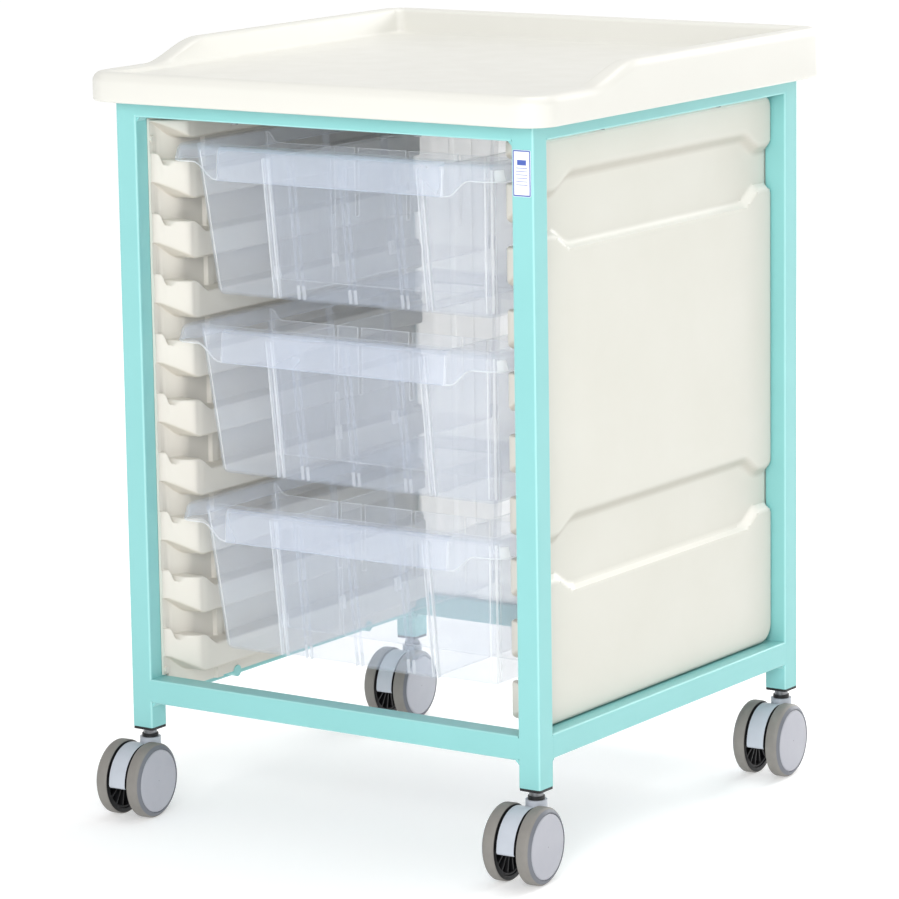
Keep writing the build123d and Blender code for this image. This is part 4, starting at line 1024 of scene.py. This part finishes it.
def softened_copy(
    node, piece_name, material, width, body, segments=2, edge_material=None
):
    """Own mesh from a CAD node's shape, with its edges rounded by a bevel."""
    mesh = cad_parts[node].data.copy()
    mesh.name = piece_name
    mesh.materials.clear()
    mesh.materials.append(material)
    work = bmesh.new()
    work.from_mesh(mesh)
    bmesh.ops.remove_doubles(work, verts=work.verts, dist=0.005 * MM)
    flat = math.radians(1)
    bmesh.ops.dissolve_limit(work, angle_limit=flat, verts=work.verts, edges=work.edges)
    for face in work.faces:
        face.material_index = 0
    work.to_mesh(mesh)
    work.free()
    piece = new_object(piece_name, mesh)
    bevel = piece.modifiers.new("edges", "BEVEL")
    bevel.width = width
    bevel.segments = segments
    bevel.limit_method = "ANGLE"
    bevel.angle_limit = math.radians(40)
    if edge_material:
        mesh.materials.append(edge_material)
        bevel.material = 1
    graph = bpy.context.evaluated_depsgraph_get()
    finished = bpy.data.meshes.new_from_object(piece.evaluated_get(graph))
    piece.modifiers.clear()
    piece.data = finished
    piece.data.shade_smooth()
    piece.data.set_sharp_from_angle(angle=SMOOTH_ANGLE)
    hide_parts(node)
    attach(piece, body)
    return piece


# ---------------------------------------------------------------- label


def add_label(materials):
    """Blank label: a thin film with a raised printed border and a few plain rules."""
    low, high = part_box("asset_label")
    half = (high.x - low.x) / 2
    middle = (low.x + high.x) / 2
    face, back = low.y, high.y
    corner = 1.6 * MM

    def plate(inset, y):
        radius = max(corner - inset, 0.3 * MM)
        plan = rounded_outline(
            half - inset, low.z + inset, high.z - inset, radius, even(4), even(6), 5
        )
        return [(middle + x, y, z) for x, z in plan]

    rings = [plate(0, back), plate(0, face + 0.1 * MM), plate(0.1 * MM, face + 0.05 * MM)]
    rings += [plate(0.35 * MM, face + 0.05 * MM), plate(0.4 * MM, face), plate(1.5 * MM, face)]
    rings += [plate(1.55 * MM, face + 0.05 * MM)]
    length = len(rings[0])
    points = [point for ring in rings for point in ring]
    faces = ring_faces(len(rings), length, capped=True)
    inked = set(range(3 * length, 6 * length))
    rules = [(5 * MM, 9.5 * MM, 5 * MM)]
    rules += [(6.5 * MM, (17 + 3.2 * i) * MM, 0.5 * MM) for i in range(6)]
    for reach, drop, thick in rules:
        bottom, top = high.z - drop - thick, high.z - drop
        rule = block((middle - reach, face, bottom), (middle + reach, back, top))
        inked |= set(add_part(points, faces, *rule))
    looks = [materials["label"], materials["label_ink"]]
    piece = make_piece("asset_label_film", points, faces, looks)
    set_material(piece, inked, 1)
    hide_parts("asset_label")
    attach(piece, "cabinet")


# ---------------------------------------------------------------- casters

CASTER_HEADING = math.radians(4.1)
CASTER_AXIS = Vector((math.cos(CASTER_HEADING), math.sin(CASTER_HEADING), 0))
FENDER_TOP = 57 * MM
TURN_STEPS = 72
RIBS = 16

# Profiles turned round the axle, in millimetres: distance along it from the caster's middle,
# and radius. Each step of a profile has the number of its material.
TYRE_PROFILE = (
    (26.0, 32.5), (12.3, 33.0), (12.3, 37.2), (12.7, 38.0), (13.6, 38.5), (21.6, 38.5), (22.9, 38.3),
    (24.0, 37.6), (24.9, 36.6), (26.4, 34.6), (27.0, 33.8), (27.1, 33.2), (26.9, 32.7), (26.0, 32.5),
)
# Material numbers: 0 tread, 1 the shoulder's painted shade, 2 black as painted shadow on the tyre's inner
# side by the fender.
TYRE_MATERIALS = (2, 2, 0, 0, 0, 0, 0, 0, 1, 1, 1, 1, 1)
HUB_PROFILE = (
    (10.2, 3.2), (10.2, 6.5), (23.6, 8.0), (23.6, 30.0), (13.5, 30.5), (13.5, 32.4), (26.0, 32.4),
    (26.6, 32.2), (27.0, 31.6), (27.1, 30.0), (27.3, 20.0), (27.4, 10.0), (27.4, 0.4),
)
# Material numbers: 0 the outer disc, 1 black as painted shadow on the hub's inner side and its ribs, by the
# fender.
HUB_MATERIALS = (1, 1, 1, 1, 1, 1, 0, 0, 0, 0, 0, 0)


def turned(profile, profile_materials, centre, outward):
    """Surface of a profile turned round the axle through centre, with a material for each step."""
    across = Vector((0, 0, 1)).cross(outward)
    points, faces, indices = [], [], []
    for along, radius in profile:
        for step in range(TURN_STEPS):
            angle = 2 * math.pi * step / TURN_STEPS
            spoke = across * math.cos(angle) + Vector((0, 0, 1)) * math.sin(angle)
            points.append(tuple(centre + outward * (along * MM) + spoke * (radius * MM)))
    faces = ring_faces(len(profile), TURN_STEPS)
    for index in profile_materials:
        indices += [index] * TURN_STEPS
    return points, faces, indices


def hub_ribs(centre, outward):
    """Radial ribs behind the hub disc."""
    points, faces = [], []
    up = Vector((0, 0, 1))
    quads = ((0, 1, 3, 2), (4, 6, 7, 5), (0, 4, 5, 1), (2, 3, 7, 6), (0, 2, 6, 4), (1, 5, 7, 3))
    for number in range(RIBS):
        angle = 2 * math.pi * (number + 0.5) / RIBS
        across = up.cross(outward)
        spoke = across * math.cos(angle) + up * math.sin(angle)
        beside = outward.cross(spoke)
        corners = []
        for along in (14.5, 24.0):
            for radius, half in ((7.0, 0.7), (30.5, 1.1)):
                for side in (-1, 1):
                    offset = outward * along + spoke * radius + beside * (half * side)
                    corners.append(tuple(centre + offset * MM))
        add_part(points, faces, corners, quads)
    return points, faces


def darken(piece, material, chosen):
    """Second material on the faces that the test picks."""
    piece.data.materials.append(material)
    for face in piece.data.polygons:
        if chosen(face):
            face.material_index = 1


def add_wheel(caster, wheel, centre, body, materials):
    outward = CASTER_AXIS * SIDES[wheel]
    points, faces, indices = turned(TYRE_PROFILE, TYRE_MATERIALS, centre, outward)
    looks = [materials["tyre"], materials["shaded_shoulder"], materials["black"]]
    tread = make_piece(f"{caster}_{wheel}_tread", points, faces, looks)
    tread.data.polygons.foreach_set("material_index", indices)
    clean_up(tread)
    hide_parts(f"{caster}_{wheel}_tyre")
    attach(tread, body)
    points, faces, indices = turned(HUB_PROFILE, HUB_MATERIALS, centre, outward)
    ribs = add_part(points, faces, *hub_ribs(centre, outward))
    indices += [1] * len(ribs)
    hub = make_piece(f"{caster}_{wheel}_hub", points, faces, [materials["hub"], materials["black"]])
    hub.data.polygons.foreach_set("material_index", indices)
    clean_up(hub)
    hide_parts(f"{caster}_{wheel}_wheel")
    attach(hub, body)


def add_casters(materials):
    for end_name in ENDS:
        for side_name in SIDES:
            caster = f"{end_name}_{side_name}_caster"
            swivel = f"{end_name}_{side_name}_swivel_unit"
            fender = softened_copy(
                f"{caster}_housing", f"{caster}_fender", materials["housing"], 1.2 * MM, swivel,
                segments=3,
            )
            darken(fender, materials["black"], is_fender_side)
            boxes = [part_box(f"{caster}_{wheel}_tyre") for wheel in SIDES]
            centre = sum((low + high for low, high in boxes), Vector()) / 4
            for wheel in SIDES:
                body = f"{end_name}_{side_name}_{wheel}_wheel_unit"
                add_wheel(caster, wheel, centre, body, materials)


def is_fender_side(face):
    """True for the fender's flat sides and inside, in the wheels' shadow, which get black as painted
    shadow.
    """
    return abs(face.normal.dot(CASTER_AXIS)) > 0.95 and face.center.z < FENDER_TOP


# ---------------------------------------------------------------- weld blends

TUBE_CORNER = 2.5 * MM
BLEND_SINK = 0.06 * MM


def add_weld_blends(material):
    """Ground-flush weld metal that fills the grooves where rail ends meet the rounded legs."""
    inner, outer = (corner.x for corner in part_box("front_right_leg"))
    points, faces = [], []
    for level in ("top", "bottom"):
        low, high = (corner.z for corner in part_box(f"{level}_front_rail"))
        low, high = low + TUBE_CORNER * 0.8, high - TUBE_CORNER * 0.8
        for sx in SIDES.values():
            for sy in ENDS.values():
                for face in (outer, inner):
                    sink = face - BLEND_SINK if face == outer else face + BLEND_SINK
                    deep = face - TUBE_CORNER if face == outer else face + TUBE_CORNER
                    start, stop = inner - 1.5 * MM, inner + TUBE_CORNER
                    for spans in (((start, stop), (sink, deep)), ((sink, deep), (start, stop))):
                        xs = sorted(sx * value for value in spans[0])
                        ys = sorted(sy * value for value in spans[1])
                        add_part(points, faces, *block((xs[0], ys[0], low), (xs[1], ys[1], high)))
    piece = make_piece("weld_blends", points, faces, [material])
    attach(piece, "cabinet")


# ---------------------------------------------------------------- the whole cabinet


def build():
    materials = make_materials()
    add_studio()
    add_camera()
    legs = [f"{end}_{side}_leg" for end in ENDS for side in SIDES]
    rails = [f"{level}_{place}_rail" for level in ("top", "bottom") for place in (*SIDES, *ENDS)]
    axles = [f"{end}_{side}_caster_axle" for end in ENDS for side in SIDES]
    paint_nodes(materials["paint"], legs + rails + ["weld_fillets", "panel_support_pegs"])
    paint_nodes(materials["black"], ["leg_end_inserts", "caster_bearing_rings"])
    paint_nodes(materials["steel"], ["worktop_screws", "caster_stems"] + axles)
    paint_nodes(materials["liner"], ["panel_screws"])
    paint_nodes(materials["back"], ["back_panel"])
    add_worktop(materials["worktop"])
    for side_name in SIDES:
        add_side_panel(side_name, materials["cream"])
        add_side_liner(side_name, materials["liner"])
    for name in TRAYS:
        add_tray(name, [materials["tray"], materials["tray_edge_highlight"], materials["tray_handle"]])
        unit = f"{name}_tray_unit"
        for divider in ("cross_divider", "long_dividers"):
            # the dividers' bevelled edges get the painted highlight
            softened_copy(
                f"{name}_tray_{divider}", f"{name}_{divider}_sheet", materials["divider"], 0.4 * MM,
                unit, edge_material=materials["tray_edge_highlight"],
            )
    add_weld_blends(materials["paint"])
    add_label(materials)
    add_casters(materials)


build()

scene = bpy.context.scene
scene.view_settings.view_transform = "Standard"
scene.cycles.transparent_max_bounces = 40
scene.cycles.max_bounces = 10

bpy.context.view_layer.update()
